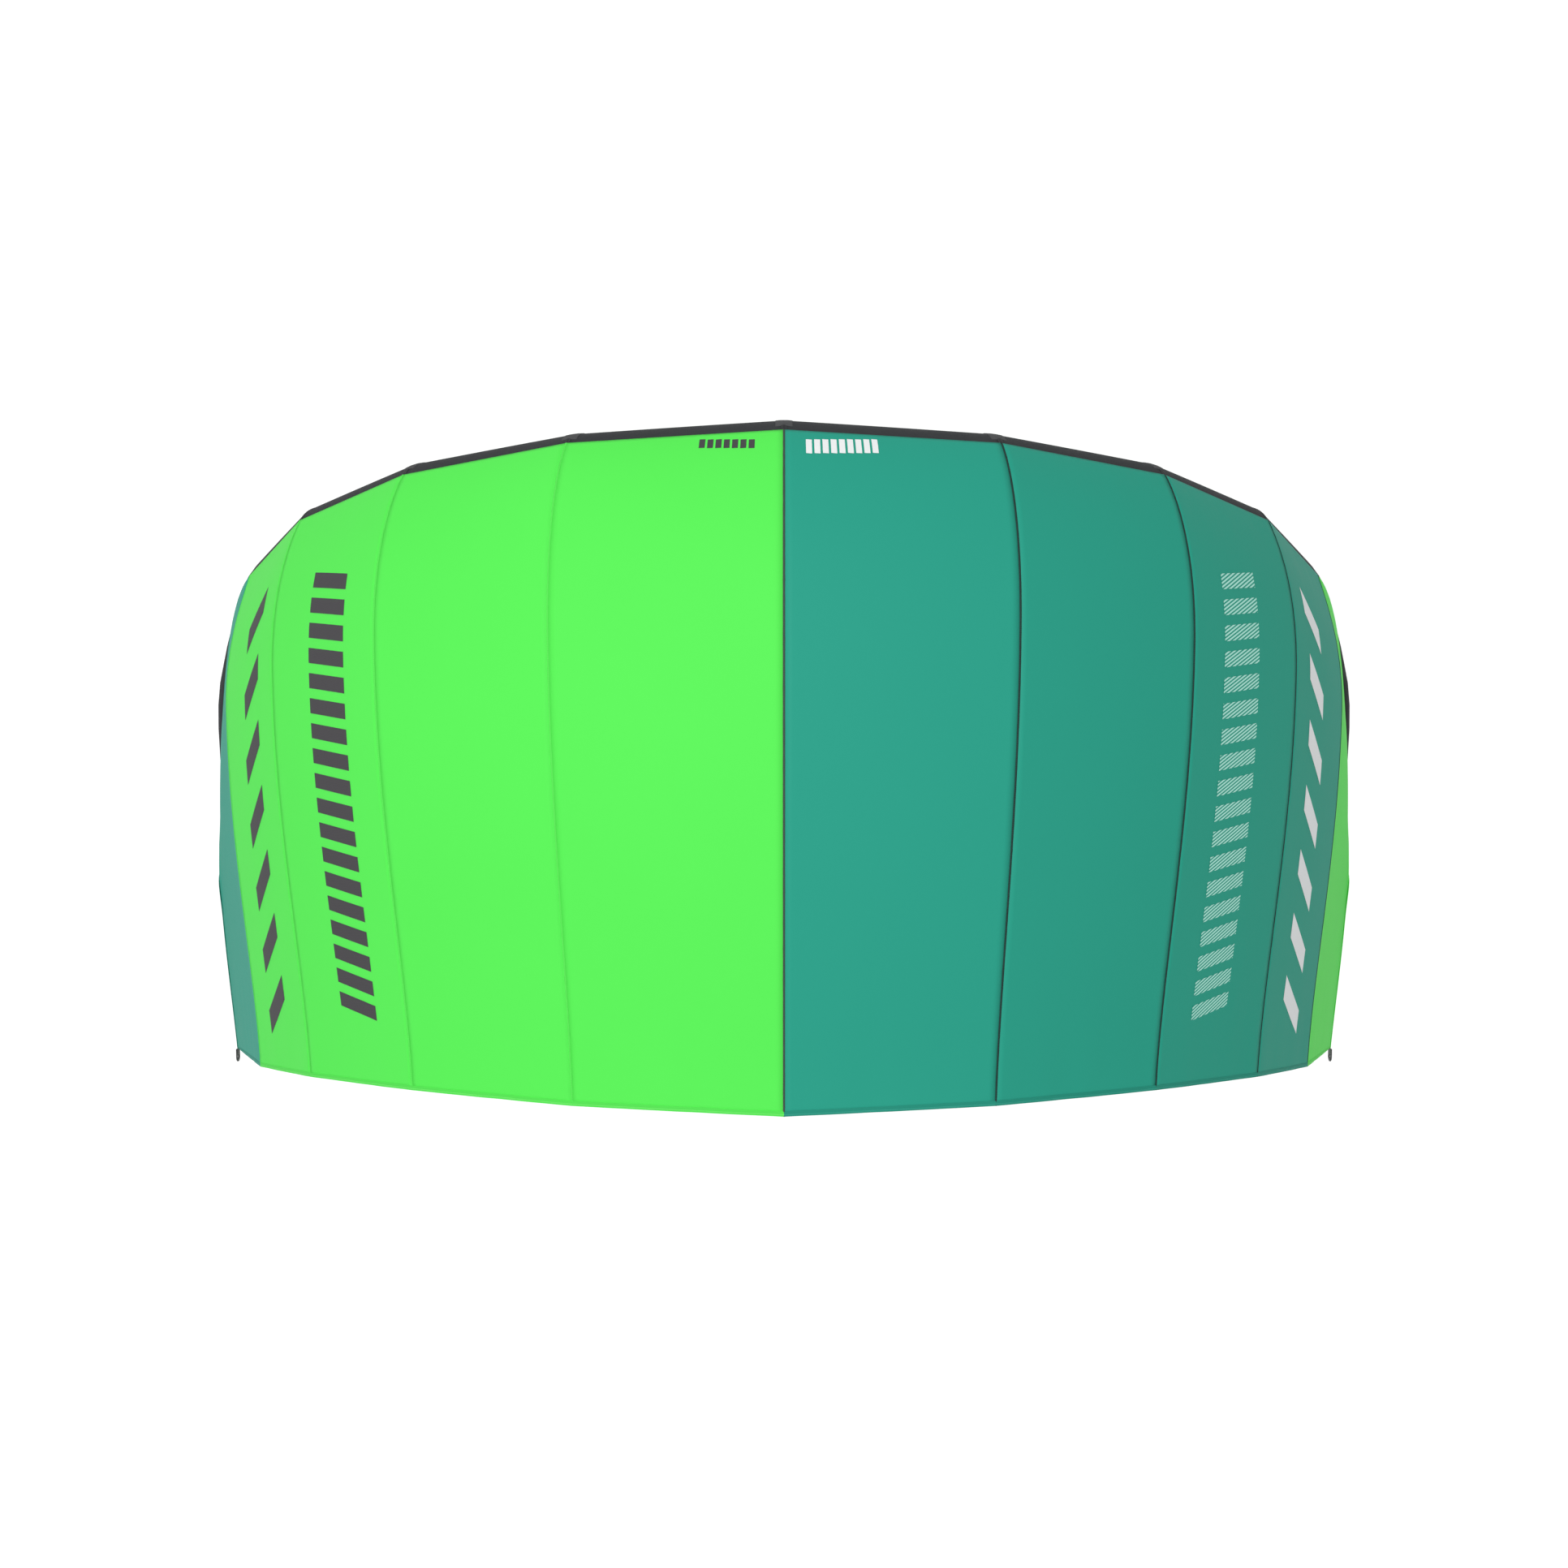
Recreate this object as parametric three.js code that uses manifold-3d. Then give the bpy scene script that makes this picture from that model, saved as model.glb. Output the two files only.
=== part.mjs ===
// An inflatable kite of 9 square metres, set on its two wingtips, pumped up and ready to fly.
// Its leading edge is a row of tapered cloth tubes around one long bladder. Three struts run back from it, and a
// skin of ten panels lies over them. Millimetres, +Z up, +Y towards the leading edge, +X across the span.
// One half of the wing is worked out, on the +X side, and most pieces are made there and mirrored.
import * as THREE from "three";
import { mergeVertices } from "three/addons/utils/BufferGeometryUtils.js";
import Module from "manifold-3d";

const wasm = await Module();
wasm.setup();

// -------------------------------------------------------------------------------------- driving dimensions
// The wing from the centre seam (rib 0) out to the last full rib (rib 4).
const PANEL_SPANS = [579, 538, 512, 476];
const PANEL_SLOPES = [9.2, 27, 42.9, 56.7]; // degrees below the horizontal
const RIB_SWEEPS = [0, 25, 87, 190, 337]; // how far each rib's nose lies behind the centre's
const RIB_CHORDS = [1800, 1769, 1723, 1663, 1576];
const RIB_TUBE_RADII = [96, 93, 88, 80, 70];
const RIB_CAMBERS = [0.072, 0.072, 0.069, 0.059, 0.054]; // crest height as a share of the chord
// The tip panel. Its nose line leaves rib 4 along the last straight tube and bends back to the tip edge, rib 8.
const TIP_LEAD = 380; // length of the nose line's first handle
const TIP_NOSE = { out: 254, back: 995, down: 469 }; // from rib 4's nose to rib 8's
const TIP_TAIL = { out: 217, back: 47, down: 495 }; // from rib 4's tail to rib 8's, the tail corner
const TIP_RIBS = 4;
const TIP_TUBE_RADIUS = 45;
const TIP_CAMBER = 0.012;

// The skin leaves the tube this many degrees above straight ahead, on each full rib and at the tip edge. In between,
// on the tip, it is sewn further round by up to SKIN_ROLL degrees.
const SKIN_STARTS = [48, 48, 54, 62, 72];
const SKIN_START_TIP = 65;
const SKIN_ROLL = 60;
const CREST_SHARE = 0.27; // of the chord

const CLOTH = 2; // modelled thickness of the skin and of the cloth tubes
const FILM = 1.5; // modelled thickness of the bladders
const LAYER_GAP = 2.6; // between a cloth tube and its bladder
const SKIN_GAP = 2; // between the skin's inside and the tubes under it
const TIP_EASE = 4; // more than that on the tip, where the tube curves away under the skin
const SEAM_GAP = 0.2; // each panel and tube stops this far short of its seam
const TUBE_SIDES = 24;
const STRUT_SIDES = 16;
const SKIN_STEPS = 20; // along the chord

const HEM_WIDTH = 14;
const HEM_THICKNESS = 3;

const STRUT_FRONT = 120; // from the skin's front edge back to the strut's mouth
const STRUT_END_SHARE = 0.93; // of the chord
const STRUT_FRONT_RADIUS = 50;
const STRUT_END_RADIUS = 24;
const STRUT_RINGS = 11;

const PATCH_WIDTH = 46;
const PATCH_THICKNESS = 1.4;
const PATCH_GAP = 1; // between a patch and the tube under it

const VALVE_PLACE = 0.5; // along the first tube
const VALVE_HOLE_RADIUS = 20;
const VALVE_BORE_RADIUS = 14;
const CAP_HINGE_REACH = 29; // from the valve's axis

const ZIP_FROM = 0.16; // along the first tube
const ZIP_TO = 0.86;
const ZIP_SLIDER_LENGTH = 14;

const HOSE_RADIUS = 9;
const HOSE_BORE_RADIUS = 6;
const HOLE_PLAY = 1; // around a hose where it goes through cloth
const HOSE_RUN = 150; // straight back from the leading edge
const HOSE_REACH = 330; // from the skin's front edge back to where the hose enters the strut

const TAB_WIDTH = 34;
const TAB_REACH = 46;
const TAB_THICKNESS = 4;
const TAB_EYE_RADIUS = 8;

const X_AXIS = new THREE.Vector3(1, 0, 0);
const Y_AXIS = new THREE.Vector3(0, 1, 0);
const radians = THREE.MathUtils.degToRad;
const { lerp } = THREE.MathUtils;

// ----------------------------------------------------------------------------------------------- materials
const material = (color, roughness, metalness = 0) =>
  new THREE.MeshStandardMaterial({ color, roughness, metalness });
const GREEN_CLOTH = material(0x5cff58, 0.55);
const TEAL_CLOTH = material(0x2ea184, 0.55);
const TUBE_CLOTH = material(0x3b3c3e, 0.7);
const PATCH_CLOTH = material(0x58595c, 0.8);
const BLADDER_FILM = material(0xcfd6d8, 0.3);
const WEBBING = material(0x2b2c2e, 0.85);
const BLACK_PLASTIC = material(0x1b1c1d, 0.45);
const GREY_PLASTIC = material(0x8a8d90, 0.4);
const HOSE_RUBBER = material(0x4a4d50, 0.6);

// -------------------------------------------------------------------------------------- bodies from points
function signedVolume(points, triangles) {
  let sum = 0;
  for (let i = 0; i < triangles.length; i += 3) {
    const [a, b, c] = [points[triangles[i]], points[triangles[i + 1]], points[triangles[i + 2]]];
    sum += a.dot(b.clone().cross(c));
  }
  return sum / 6;
}

// A closed body whose faces point outwards, whichever way round its points were given.
function closedBody(points, triangles) {
  if (signedVolume(points, triangles) < 0) {
    for (let i = 0; i < triangles.length; i += 3) {
      [triangles[i], triangles[i + 1]] = [triangles[i + 1], triangles[i]];
    }
  }
  const geometry = new THREE.BufferGeometry();
  geometry.setFromPoints(points);
  geometry.setIndex(triangles);
  return geometry;
}

const mean = (points) =>
  points.reduce((sum, p) => sum.add(p), new THREE.Vector3()).divideScalar(points.length);

// The band of triangles between two rings, given by their first point's number.
function band(triangles, here, next, sides) {
  for (let k = 0; k < sides; k++) {
    const l = (k + 1) % sides;
    triangles.push(here + k, here + l, next + k);
    triangles.push(here + l, next + l, next + k);
  }
}

// Round rings joined one to the next. Without ends the last ring joins the first, which makes an open pipe.
function loft(rings, hasEnds) {
  const points = rings.flat();
  const triangles = [];
  const sides = rings[0].length;
  for (let r = 0; r + 1 < rings.length; r++) band(triangles, r * sides, (r + 1) * sides, sides);
  const last = (rings.length - 1) * sides;
  if (!hasEnds) band(triangles, last, 0, sides);
  if (hasEnds) {
    const first = points.push(mean(rings[0])) - 1;
    const end = points.push(mean(rings[rings.length - 1])) - 1;
    for (let k = 0; k < sides; k++) {
      const l = (k + 1) % sides;
      triangles.push(first, l, k);
      triangles.push(end, last + k, last + l);
    }
  }
  return closedBody(points, triangles);
}

// A sheet with two faces, from sections that each hold a row of points on its outside and one on its inside.
function sheet(sections) {
  const rings = sections.map(({ outside, inside }) => [...outside, ...inside.slice().reverse()]);
  const points = rings.flat();
  const triangles = [];
  const sides = rings[0].length;
  const steps = sides / 2 - 1;
  for (let r = 0; r + 1 < rings.length; r++) band(triangles, r * sides, (r + 1) * sides, sides);
  const last = (rings.length - 1) * sides;
  for (let k = 0; k < steps; k++) {
    const l = sides - 1 - k;
    triangles.push(k, l, k + 1, k + 1, l, l - 1);
    triangles.push(last + k, last + k + 1, last + l, last + k + 1, last + l - 1, last + l);
  }
  return closedBody(points, triangles);
}

// ------------------------------------------------------------------------------------------ cuts and joins
function solidOf(geometry) {
  const bare = geometry.index ? geometry.toNonIndexed() : geometry.clone();
  bare.deleteAttribute("normal");
  bare.deleteAttribute("uv");
  const merged = mergeVertices(bare, 1e-3);
  return new wasm.Manifold(
    new wasm.Mesh({
      numProp: 3,
      vertProperties: merged.attributes.position.array,
      triVerts: new Uint32Array(merged.index.array),
    }),
  );
}

function geometryFrom(solid) {
  const mesh = solid.getMesh();
  const geometry = new THREE.BufferGeometry();
  geometry.setAttribute("position", new THREE.BufferAttribute(Float32Array.from(mesh.vertProperties), 3));
  geometry.setIndex(new THREE.BufferAttribute(Uint32Array.from(mesh.triVerts), 1));
  return geometry;
}

const cut = (body, ...tools) =>
  geometryFrom(tools.reduce((left, tool) => left.subtract(solidOf(tool)), solidOf(body)));
const join = (...bodies) =>
  geometryFrom(bodies.slice(1).reduce((sum, b) => sum.add(solidOf(b)), solidOf(bodies[0])));

// A cylinder centred on `at`, along `axis`.
function rod(at, axis, radius, length, sides = 20) {
  const geometry = new THREE.CylinderGeometry(radius, radius, length, sides);
  geometry.applyQuaternion(new THREE.Quaternion().setFromUnitVectors(Y_AXIS, axis.clone().normalize()));
  geometry.translate(at.x, at.y, at.z);
  return geometry;
}

// A flat outline pulled `depth` thick, centred on its own plane, then set out by three directions from a point.
function plate(outline, depth, origin, right, up, normal, bevel = 0) {
  const options = { depth: depth - 2 * bevel, bevelEnabled: bevel > 0, bevelSize: bevel, bevelThickness: bevel };
  const finish = { bevelOffset: -bevel, bevelSegments: 1, curveSegments: 10 };
  const geometry = new THREE.ExtrudeGeometry(outline, { ...options, ...finish });
  geometry.translate(0, 0, bevel - depth / 2);
  geometry.applyMatrix4(new THREE.Matrix4().makeBasis(right, up, normal).setPosition(origin));
  return geometry;
}

// ------------------------------------------------------------------------------------------- wing geometry
function noseLine() {
  const noses = [new THREE.Vector3()];
  for (let i = 0; i < 4; i++) {
    const slope = radians(PANEL_SLOPES[i]);
    const next = noses[i].clone();
    next.x += PANEL_SPANS[i] * Math.cos(slope);
    next.y = -RIB_SWEEPS[i + 1];
    next.z -= PANEL_SPANS[i] * Math.sin(slope);
    noses.push(next);
  }
  const lead = noses[4].clone().sub(noses[3]).setLength(TIP_LEAD).add(noses[4]);
  const end = noses[4].clone().add(new THREE.Vector3(TIP_NOSE.out, -TIP_NOSE.back, -TIP_NOSE.down));
  const curve = new THREE.QuadraticBezierCurve3(noses[4], lead, end);
  for (let k = 1; k <= TIP_RIBS; k++) noses.push(curve.getPoint(k / TIP_RIBS));
  return noses;
}

// Each rib has its nose (the skin's front edge), its tail, the way up from its chord, and its share of the tube:
// the tube's axis and direction there, and where the skin leaves it.
function wingRibs() {
  const noses = noseLine();
  const runs = noses.slice(1).map((nose, i) => nose.clone().sub(noses[i]).normalize());
  const lastTail = noses[4].clone().addScaledVector(Y_AXIS, -RIB_CHORDS[4]);
  const corner = lastTail.clone().add(new THREE.Vector3(TIP_TAIL.out, -TIP_TAIL.back, -TIP_TAIL.down));
  return noses.map((nose, i) => {
    const tipShare = Math.max(0, i - 4) / TIP_RIBS;
    const tipTail = lastTail.clone().lerp(corner, tipShare);
    const tail = i <= 4 ? nose.clone().addScaledVector(Y_AXIS, -RIB_CHORDS[i]) : tipTail;
    const chord = nose.distanceTo(tail);
    const back = tail.clone().sub(nose).normalize();
    const along = i === 0 ? X_AXIS.clone() : runs[i - 1].clone().add(runs[i] ?? runs[i - 1]).normalize();
    const ahead = Y_AXIS.clone().addScaledVector(along, -along.y).normalize();
    const out = along.clone().cross(ahead).normalize();
    const up = out.clone().addScaledVector(back, -out.dot(back)).normalize();
    const roll = SKIN_ROLL * Math.sin(Math.PI * tipShare ** 1.5) ** 2;
    const start = radians(i <= 4 ? SKIN_STARTS[i] : lerp(SKIN_STARTS[4], SKIN_START_TIP, tipShare) + roll);
    const radius = i <= 4 ? RIB_TUBE_RADII[i] : lerp(RIB_TUBE_RADII[4], TIP_TUBE_RADIUS, tipShare);
    const camber = i <= 4 ? RIB_CAMBERS[i] : lerp(RIB_CAMBERS[4], TIP_CAMBER, Math.sqrt(tipShare));
    const reach = radius + SKIN_GAP + CLOTH + (i > 4 ? TIP_EASE : 0);
    const axis = nose
      .clone()
      .addScaledVector(ahead, -Math.cos(start) * reach)
      .addScaledVector(out, -Math.sin(start) * reach);
    return { nose, tail, chord, back, up, start, crest: camber * chord, radius, axis, along };
  });
}

const RIBS = wingRibs();
// The ground is just under the lowest point of the tube at the tip edge.
const FLOOR = RIBS[8].axis.z - Math.sqrt(1 - RIBS[8].along.z ** 2) * RIBS[8].radius - 0.5;

// A rib's section as two cubic arcs: off the tube along its surface to the crest, then flattening to the tail.
const NOSE_SHARE = 0.4; // of the steps along the chord
function sectionAt(rib, u) {
  const crest = new THREE.Vector2(CREST_SHARE * rib.chord, rib.crest);
  if (u < NOSE_SHARE) {
    const leave = new THREE.Vector2(Math.sin(rib.start), Math.max(0, Math.cos(rib.start)));
    leave.multiplyScalar(0.06 * rib.chord);
    const before = new THREE.Vector2(0.52 * crest.x, crest.y);
    return new THREE.CubicBezierCurve(new THREE.Vector2(), leave, before, crest).getPoint(u / NOSE_SHARE);
  }
  const after = new THREE.Vector2(0.55 * rib.chord, crest.y);
  const flat = new THREE.Vector2(0.8 * rib.chord, 0.14 * crest.y);
  const tail = new THREE.Vector2(rib.chord, 0);
  return new THREE.CubicBezierCurve(crest, after, flat, tail).getPoint((u - NOSE_SHARE) / (1 - NOSE_SHARE));
}

// A point of the skin's outside on a rib, or `depth` inside it.
function skinPoint(rib, u, depth = 0) {
  const here = sectionAt(rib, u);
  const slope = sectionAt(rib, Math.min(u + 0.01, 1))
    .sub(sectionAt(rib, Math.max(u - 0.01, 0)))
    .normalize();
  return rib.nose
    .clone()
    .addScaledVector(rib.back, here.x + slope.y * depth)
    .addScaledVector(rib.up, here.y - slope.x * depth);
}

// The skin's height above a rib's chord, at a distance behind its nose.
function skinHeight(rib, distance) {
  let low = 0;
  let high = 1;
  for (let i = 0; i < 24; i++) {
    const middle = (low + high) / 2;
    if (sectionAt(rib, middle).x < distance) low = middle;
    else high = middle;
  }
  return sectionAt(rib, low).y;
}

// The straight tube from kink i to kink i + 1, with its own directions: ahead of it, and out from the wing.
function tubeFrame(i) {
  const [from, to] = [RIBS[i], RIBS[i + 1]];
  const along = to.axis.clone().sub(from.axis).normalize();
  const ahead = Y_AXIS.clone().addScaledVector(along, -along.y).normalize();
  return { from, to, along, ahead, out: along.clone().cross(ahead).normalize() };
}

// A point on a tube, `share` of the way along it, at an angle round from straight ahead, `proud` of its surface.
function tubePoint(frame, share, degrees, proud = 0) {
  const angle = radians(degrees);
  return frame.from.axis
    .clone()
    .lerp(frame.to.axis, share)
    .addScaledVector(frame.ahead, Math.cos(angle) * (lerp(frame.from.radius, frame.to.radius, share) + proud))
    .addScaledVector(frame.out, Math.sin(angle) * (lerp(frame.from.radius, frame.to.radius, share) + proud));
}

// A point on a tube slid along it onto its mitre plane with the next tube, or `short` of that plane.
function mitrePoint(frame, rib, degrees, proud, short) {
  const share = rib === frame.from ? 0 : 1;
  const point = tubePoint(frame, share, degrees, proud);
  const miss = point.clone().sub(rib.axis).dot(rib.along) / frame.along.dot(rib.along);
  return point.addScaledVector(frame.along, (share === 0 ? short : -short) - miss);
}

function mitreRing(frame, rib, inset, short) {
  const ring = [];
  for (let k = 0; k < TUBE_SIDES; k++) ring.push(mitrePoint(frame, rib, (360 * k) / TUBE_SIDES, -inset, short));
  return ring;
}

// The rings of a tube over several kinks, `inset` inside the cloth, each end held `short` of its mitre plane.
function tubeRings(first, last, inset, startShort, endShort) {
  const rings = [mitreRing(tubeFrame(first), RIBS[first], inset, startShort)];
  for (let i = first; i < last; i++) {
    rings.push(mitreRing(tubeFrame(i), RIBS[i + 1], inset, i + 1 === last ? endShort : 0));
  }
  return rings;
}

// ------------------------------------------------------------------------------------------------ assembly
const wing = new THREE.Group();
wing.name = "wing";

function add(name, geometry, surface) {
  const mesh = new THREE.Mesh(geometry, surface);
  mesh.name = name;
  wing.add(mesh);
}

// The mirror image of a body, with its faces still pointing outwards.
function mirrored(geometry) {
  const twin = mergeVertices(geometry.clone().deleteAttribute("normal").deleteAttribute("uv"), 1e-4);
  const place = twin.attributes.position;
  for (let i = 0; i < place.count; i++) place.setX(i, -place.getX(i));
  const corners = Array.from(twin.index.array);
  for (let i = 0; i < corners.length; i += 3) [corners[i], corners[i + 1]] = [corners[i + 1], corners[i]];
  twin.setIndex(corners);
  return twin;
}

function addPair(name, geometry, rightSurface, leftSurface = rightSurface) {
  add(`${name}_right`, geometry, rightSurface);
  add(`${name}_left`, mirrored(geometry), leftSurface);
}

// --------------------------------------------------------------------------------------------- canopy skin
// Points along a rib's skin from one share of its steps to another, moved `shift` along the span.
function skinRow(rib, depth, from, to, steps, shift) {
  const across = rib.up.clone().cross(rib.back).normalize();
  const row = [];
  for (let k = 0; k <= steps; k++) {
    row.push(skinPoint(rib, lerp(from, to, k / steps), depth).addScaledVector(across, shift));
  }
  return row;
}

function skinStrip(ribs, outer, inner, from, to, steps) {
  const sections = ribs.map((rib, i) => {
    const ends = { 0: SEAM_GAP, [ribs.length - 1]: -SEAM_GAP };
    const shift = ends[i] ?? 0;
    return {
      outside: skinRow(rib, outer, from, to, steps, shift),
      inside: skinRow(rib, inner, from, to, steps, shift),
    };
  });
  return sheet(sections);
}

const HEM_FROM = 1 - HEM_WIDTH / (RIB_CHORDS[0] * 0.94); // the share of the steps where the hem begins
for (let i = 0; i < 4; i++) {
  const panel = skinStrip([RIBS[i], RIBS[i + 1]], 0, CLOTH, 0, HEM_FROM, SKIN_STEPS);
  addPair(`canopy_panel_${i + 1}`, panel, TEAL_CLOTH, GREEN_CLOTH);
}
addPair("canopy_panel_5", skinStrip(RIBS.slice(4), 0, CLOTH, 0, HEM_FROM, SKIN_STEPS), GREEN_CLOTH, TEAL_CLOTH);

const HEM_OUTSIDE = (CLOTH - HEM_THICKNESS) / 2;
const tailHem = skinStrip(RIBS, HEM_OUTSIDE, HEM_OUTSIDE + HEM_THICKNESS, HEM_FROM + 0.0002, 1, 1);
addPair("trailing_edge_hem", tailHem, TEAL_CLOTH, GREEN_CLOTH);

// The hem under the tip edge. Its lower face is flat, on the ground.
function tipHem() {
  const rib = RIBS[8];
  const steps = 12;
  const sections = [];
  for (let k = 0; k <= steps; k++) {
    const u = lerp(0.02, 1, k / steps);
    const column = (depth) => {
      const top = skinPoint(rib, u, depth);
      top.z -= 2 * SEAM_GAP;
      return [top, new THREE.Vector3(top.x, top.y, FLOOR)];
    };
    sections.push({ outside: column(HEM_OUTSIDE), inside: column(HEM_OUTSIDE + HEM_THICKNESS) });
  }
  return sheet(sections);
}
addPair("wingtip_hem", tipHem(), GREEN_CLOTH, TEAL_CLOTH);

// ------------------------------------------------------------------------------------- leading edge casing
function tubeShell(first, last, isClosed) {
  const outside = tubeRings(first, last, 0, SEAM_GAP, SEAM_GAP);
  const inside = tubeRings(first, last, CLOTH, SEAM_GAP, isClosed ? CLOTH + SEAM_GAP : SEAM_GAP);
  return loft([...inside.reverse(), ...outside], isClosed);
}

// Where the centre strut's hose, and each outer strut's, leaves the leading edge: which tube, how far along it.
const STRUTS = [
  { name: "centre", rib: RIBS[0], tube: 0, share: 0.12 },
  { name: "outer", rib: RIBS[2], tube: 2, share: 0.14 },
];

const valveFrame = tubeFrame(0);
const valveAxisPoint = valveFrame.from.axis.clone().lerp(valveFrame.to.axis, VALVE_PLACE);
const valveTubeRadius = lerp(RIBS[0].radius, RIBS[1].radius, VALVE_PLACE);
const behind = (distance) => valveAxisPoint.clone().addScaledVector(Y_AXIS, -distance);
const valveCutter = (radius, from, to) => rod(behind((from + to) / 2), Y_AXIS, radius, to - from, 32);

// ------------------------------------------------------------------------------------------- struts, hoses
// The strut's round section at a distance behind the nose. It hangs from the skin, clear of it.
function strutRing(rib, distance, inset) {
  const share = (distance - STRUT_FRONT) / (STRUT_END_SHARE * rib.chord - STRUT_FRONT);
  const radius = lerp(STRUT_FRONT_RADIUS, STRUT_END_RADIUS, share);
  const drop = CLOTH + 1.5 * SKIN_GAP + radius;
  const across = rib.back.clone().cross(rib.up).normalize();
  const centre = rib.nose
    .clone()
    .addScaledVector(rib.back, distance)
    .addScaledVector(rib.up, skinHeight(rib, distance) - drop);
  const ring = [];
  for (let k = 0; k < STRUT_SIDES; k++) {
    const angle = (2 * Math.PI * k) / STRUT_SIDES;
    const point = centre.clone().addScaledVector(across, Math.cos(angle) * (radius - inset));
    ring.push(point.addScaledVector(rib.up, Math.sin(angle) * (radius - inset)));
  }
  return ring;
}

// The strut's rings, `inset` inside its cloth. The first few can be left out, and the last one held `short`.
function strutRings(rib, inset, skipped, short) {
  const rings = [];
  for (let k = skipped; k < STRUT_RINGS; k++) {
    const place = lerp(STRUT_FRONT, STRUT_END_SHARE * rib.chord, (k / (STRUT_RINGS - 1)) ** 1.3);
    rings.push(strutRing(rib, k === STRUT_RINGS - 1 ? place - short : place, inset));
  }
  return rings;
}

// A cup: closed at its far end, open at its mouth.
const cup = (outside, inside) => loft([...inside.slice().reverse(), ...outside], true);

// The leading edge as one solid, `proud` of the cloth, for shaping what butts against it.
function edgeSolid(proud) {
  const right = tubeRings(0, 8, -proud, 0, 0);
  const left = right.slice(1).reverse().map((ring) => ring.map((p) => new THREE.Vector3(-p.x, p.y, p.z)));
  return loft([...left, ...right], true);
}
const CLEAR_EDGE = edgeSolid(1);

// A hose leaves the back of the leading edge, runs straight back beside the strut, and bends up into it.
function hosePath({ rib, tube, share }) {
  const frame = tubeFrame(tube);
  const start = tubePoint(frame, share, 205);
  const across = rib.up.clone().cross(Y_AXIS).negate().normalize();
  const side = start.clone().sub(rib.nose).dot(across);
  const level = start.clone().sub(rib.nose).dot(rib.up);
  const from = new THREE.Vector3(side, 0, level);
  const place = (x, y, z) =>
    rib.nose.clone().addScaledVector(across, x).addScaledVector(rib.back, y).addScaledVector(rib.up, z);
  const leave = start.clone().sub(rib.nose).dot(rib.back);
  const entryLevel = mean(strutRing(rib, HOSE_REACH, 0)).sub(rib.nose).dot(rib.up) - STRUT_FRONT_RADIUS + 12;
  const path = new THREE.CurvePath();
  const bend = place(from.x, leave + HOSE_RUN, from.z);
  path.add(new THREE.LineCurve3(place(from.x, leave - 6, from.z), bend));
  path.add(
    new THREE.CubicBezierCurve3(
      bend,
      place(from.x, leave + HOSE_RUN + 60, from.z),
      place(0, HOSE_REACH, entryLevel - 80),
      place(0, HOSE_REACH, entryLevel),
    ),
  );
  return { path, across, up: rib.up, middle: place(from.x, leave + HOSE_RUN * 0.62, from.z) };
}

function hoseBody(path) {
  const section = new THREE.Shape().absarc(0, 0, HOSE_RADIUS, 0, 2 * Math.PI);
  section.holes.push(new THREE.Path().absarc(0, 0, HOSE_BORE_RADIUS, 0, 2 * Math.PI));
  return new THREE.ExtrudeGeometry(section, { steps: 12, curveSegments: 6, extrudePath: path });
}

function addStrut(strut, put) {
  const { path, across, up, middle } = hosePath(strut);
  const holeAt = (share) => path.getPoint(share);
  const entry = holeAt(1);
  const entryHole = rod(entry, up, HOSE_RADIUS + HOLE_PLAY, 60);
  const shell = cup(strutRings(strut.rib, 0, 0, 0), strutRings(strut.rib, CLOTH, 0, CLOTH));
  const casing = cut(shell, CLEAR_EDGE, entryHole);
  put("strut_casing", casing, TUBE_CLOTH);
  const skinDepth = CLOTH + LAYER_GAP;
  const film = strutRings(strut.rib, skinDepth, 2, 2 * CLOTH);
  const inside = strutRings(strut.rib, skinDepth + FILM, 2, 2 * CLOTH + FILM);
  inside[0] = inside[0].map((point) => point.clone().addScaledVector(strut.rib.back, FILM));
  put("strut_bladder", cut(loft(film, true), loft(inside, true), entryHole), BLADDER_FILM);
  put("inflation_hose", hoseBody(path), HOSE_RUBBER);
  addClip(middle, across, up, put);
}

// A pinch clip around the hose: a block with two ears, and a lever hinged between them.
const CLIP_HINGE = { across: 18.5, up: -9 };
function addClip(middle, across, up, put) {
  const block = new THREE.Shape();
  block.moveTo(-14, -13).lineTo(14, -13).lineTo(14, 13).lineTo(-14, 13).closePath();
  block.holes.push(new THREE.Path().absarc(0, 0, HOSE_RADIUS + 0.5, 0, 2 * Math.PI));
  const ear = new THREE.Shape();
  ear.moveTo(13.5, -13).lineTo(22, -13).lineTo(22, -6).lineTo(18, -4).lineTo(13.5, -4).closePath();
  const set = (outline, depth, shift) => {
    const origin = middle.clone().addScaledVector(Y_AXIS, shift);
    return plate(outline, depth, origin, across, up, Y_AXIS.clone().negate());
  };
  put("hose_clip", join(set(block, 16, 0), set(ear, 2.6, 6.7), set(ear, 2.6, -6.7)), GREY_PLASTIC);
  const lever = new THREE.Shape();
  lever.absarc(CLIP_HINGE.across, CLIP_HINGE.up, 2.8, Math.PI, 1.9 * Math.PI);
  lever.lineTo(21, 14).lineTo(25, 19).lineTo(22, 20.5).lineTo(16.4, 15).lineTo(15.7, CLIP_HINGE.up).closePath();
  put("hose_clip_lever", set(lever, 10, 0), BLACK_PLASTIC);
}

const hoseHoles = STRUTS.map((strut) => {
  const { path } = hosePath(strut);
  return rod(path.getPoint(0), Y_AXIS, HOSE_RADIUS + HOLE_PLAY, 90);
});

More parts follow.
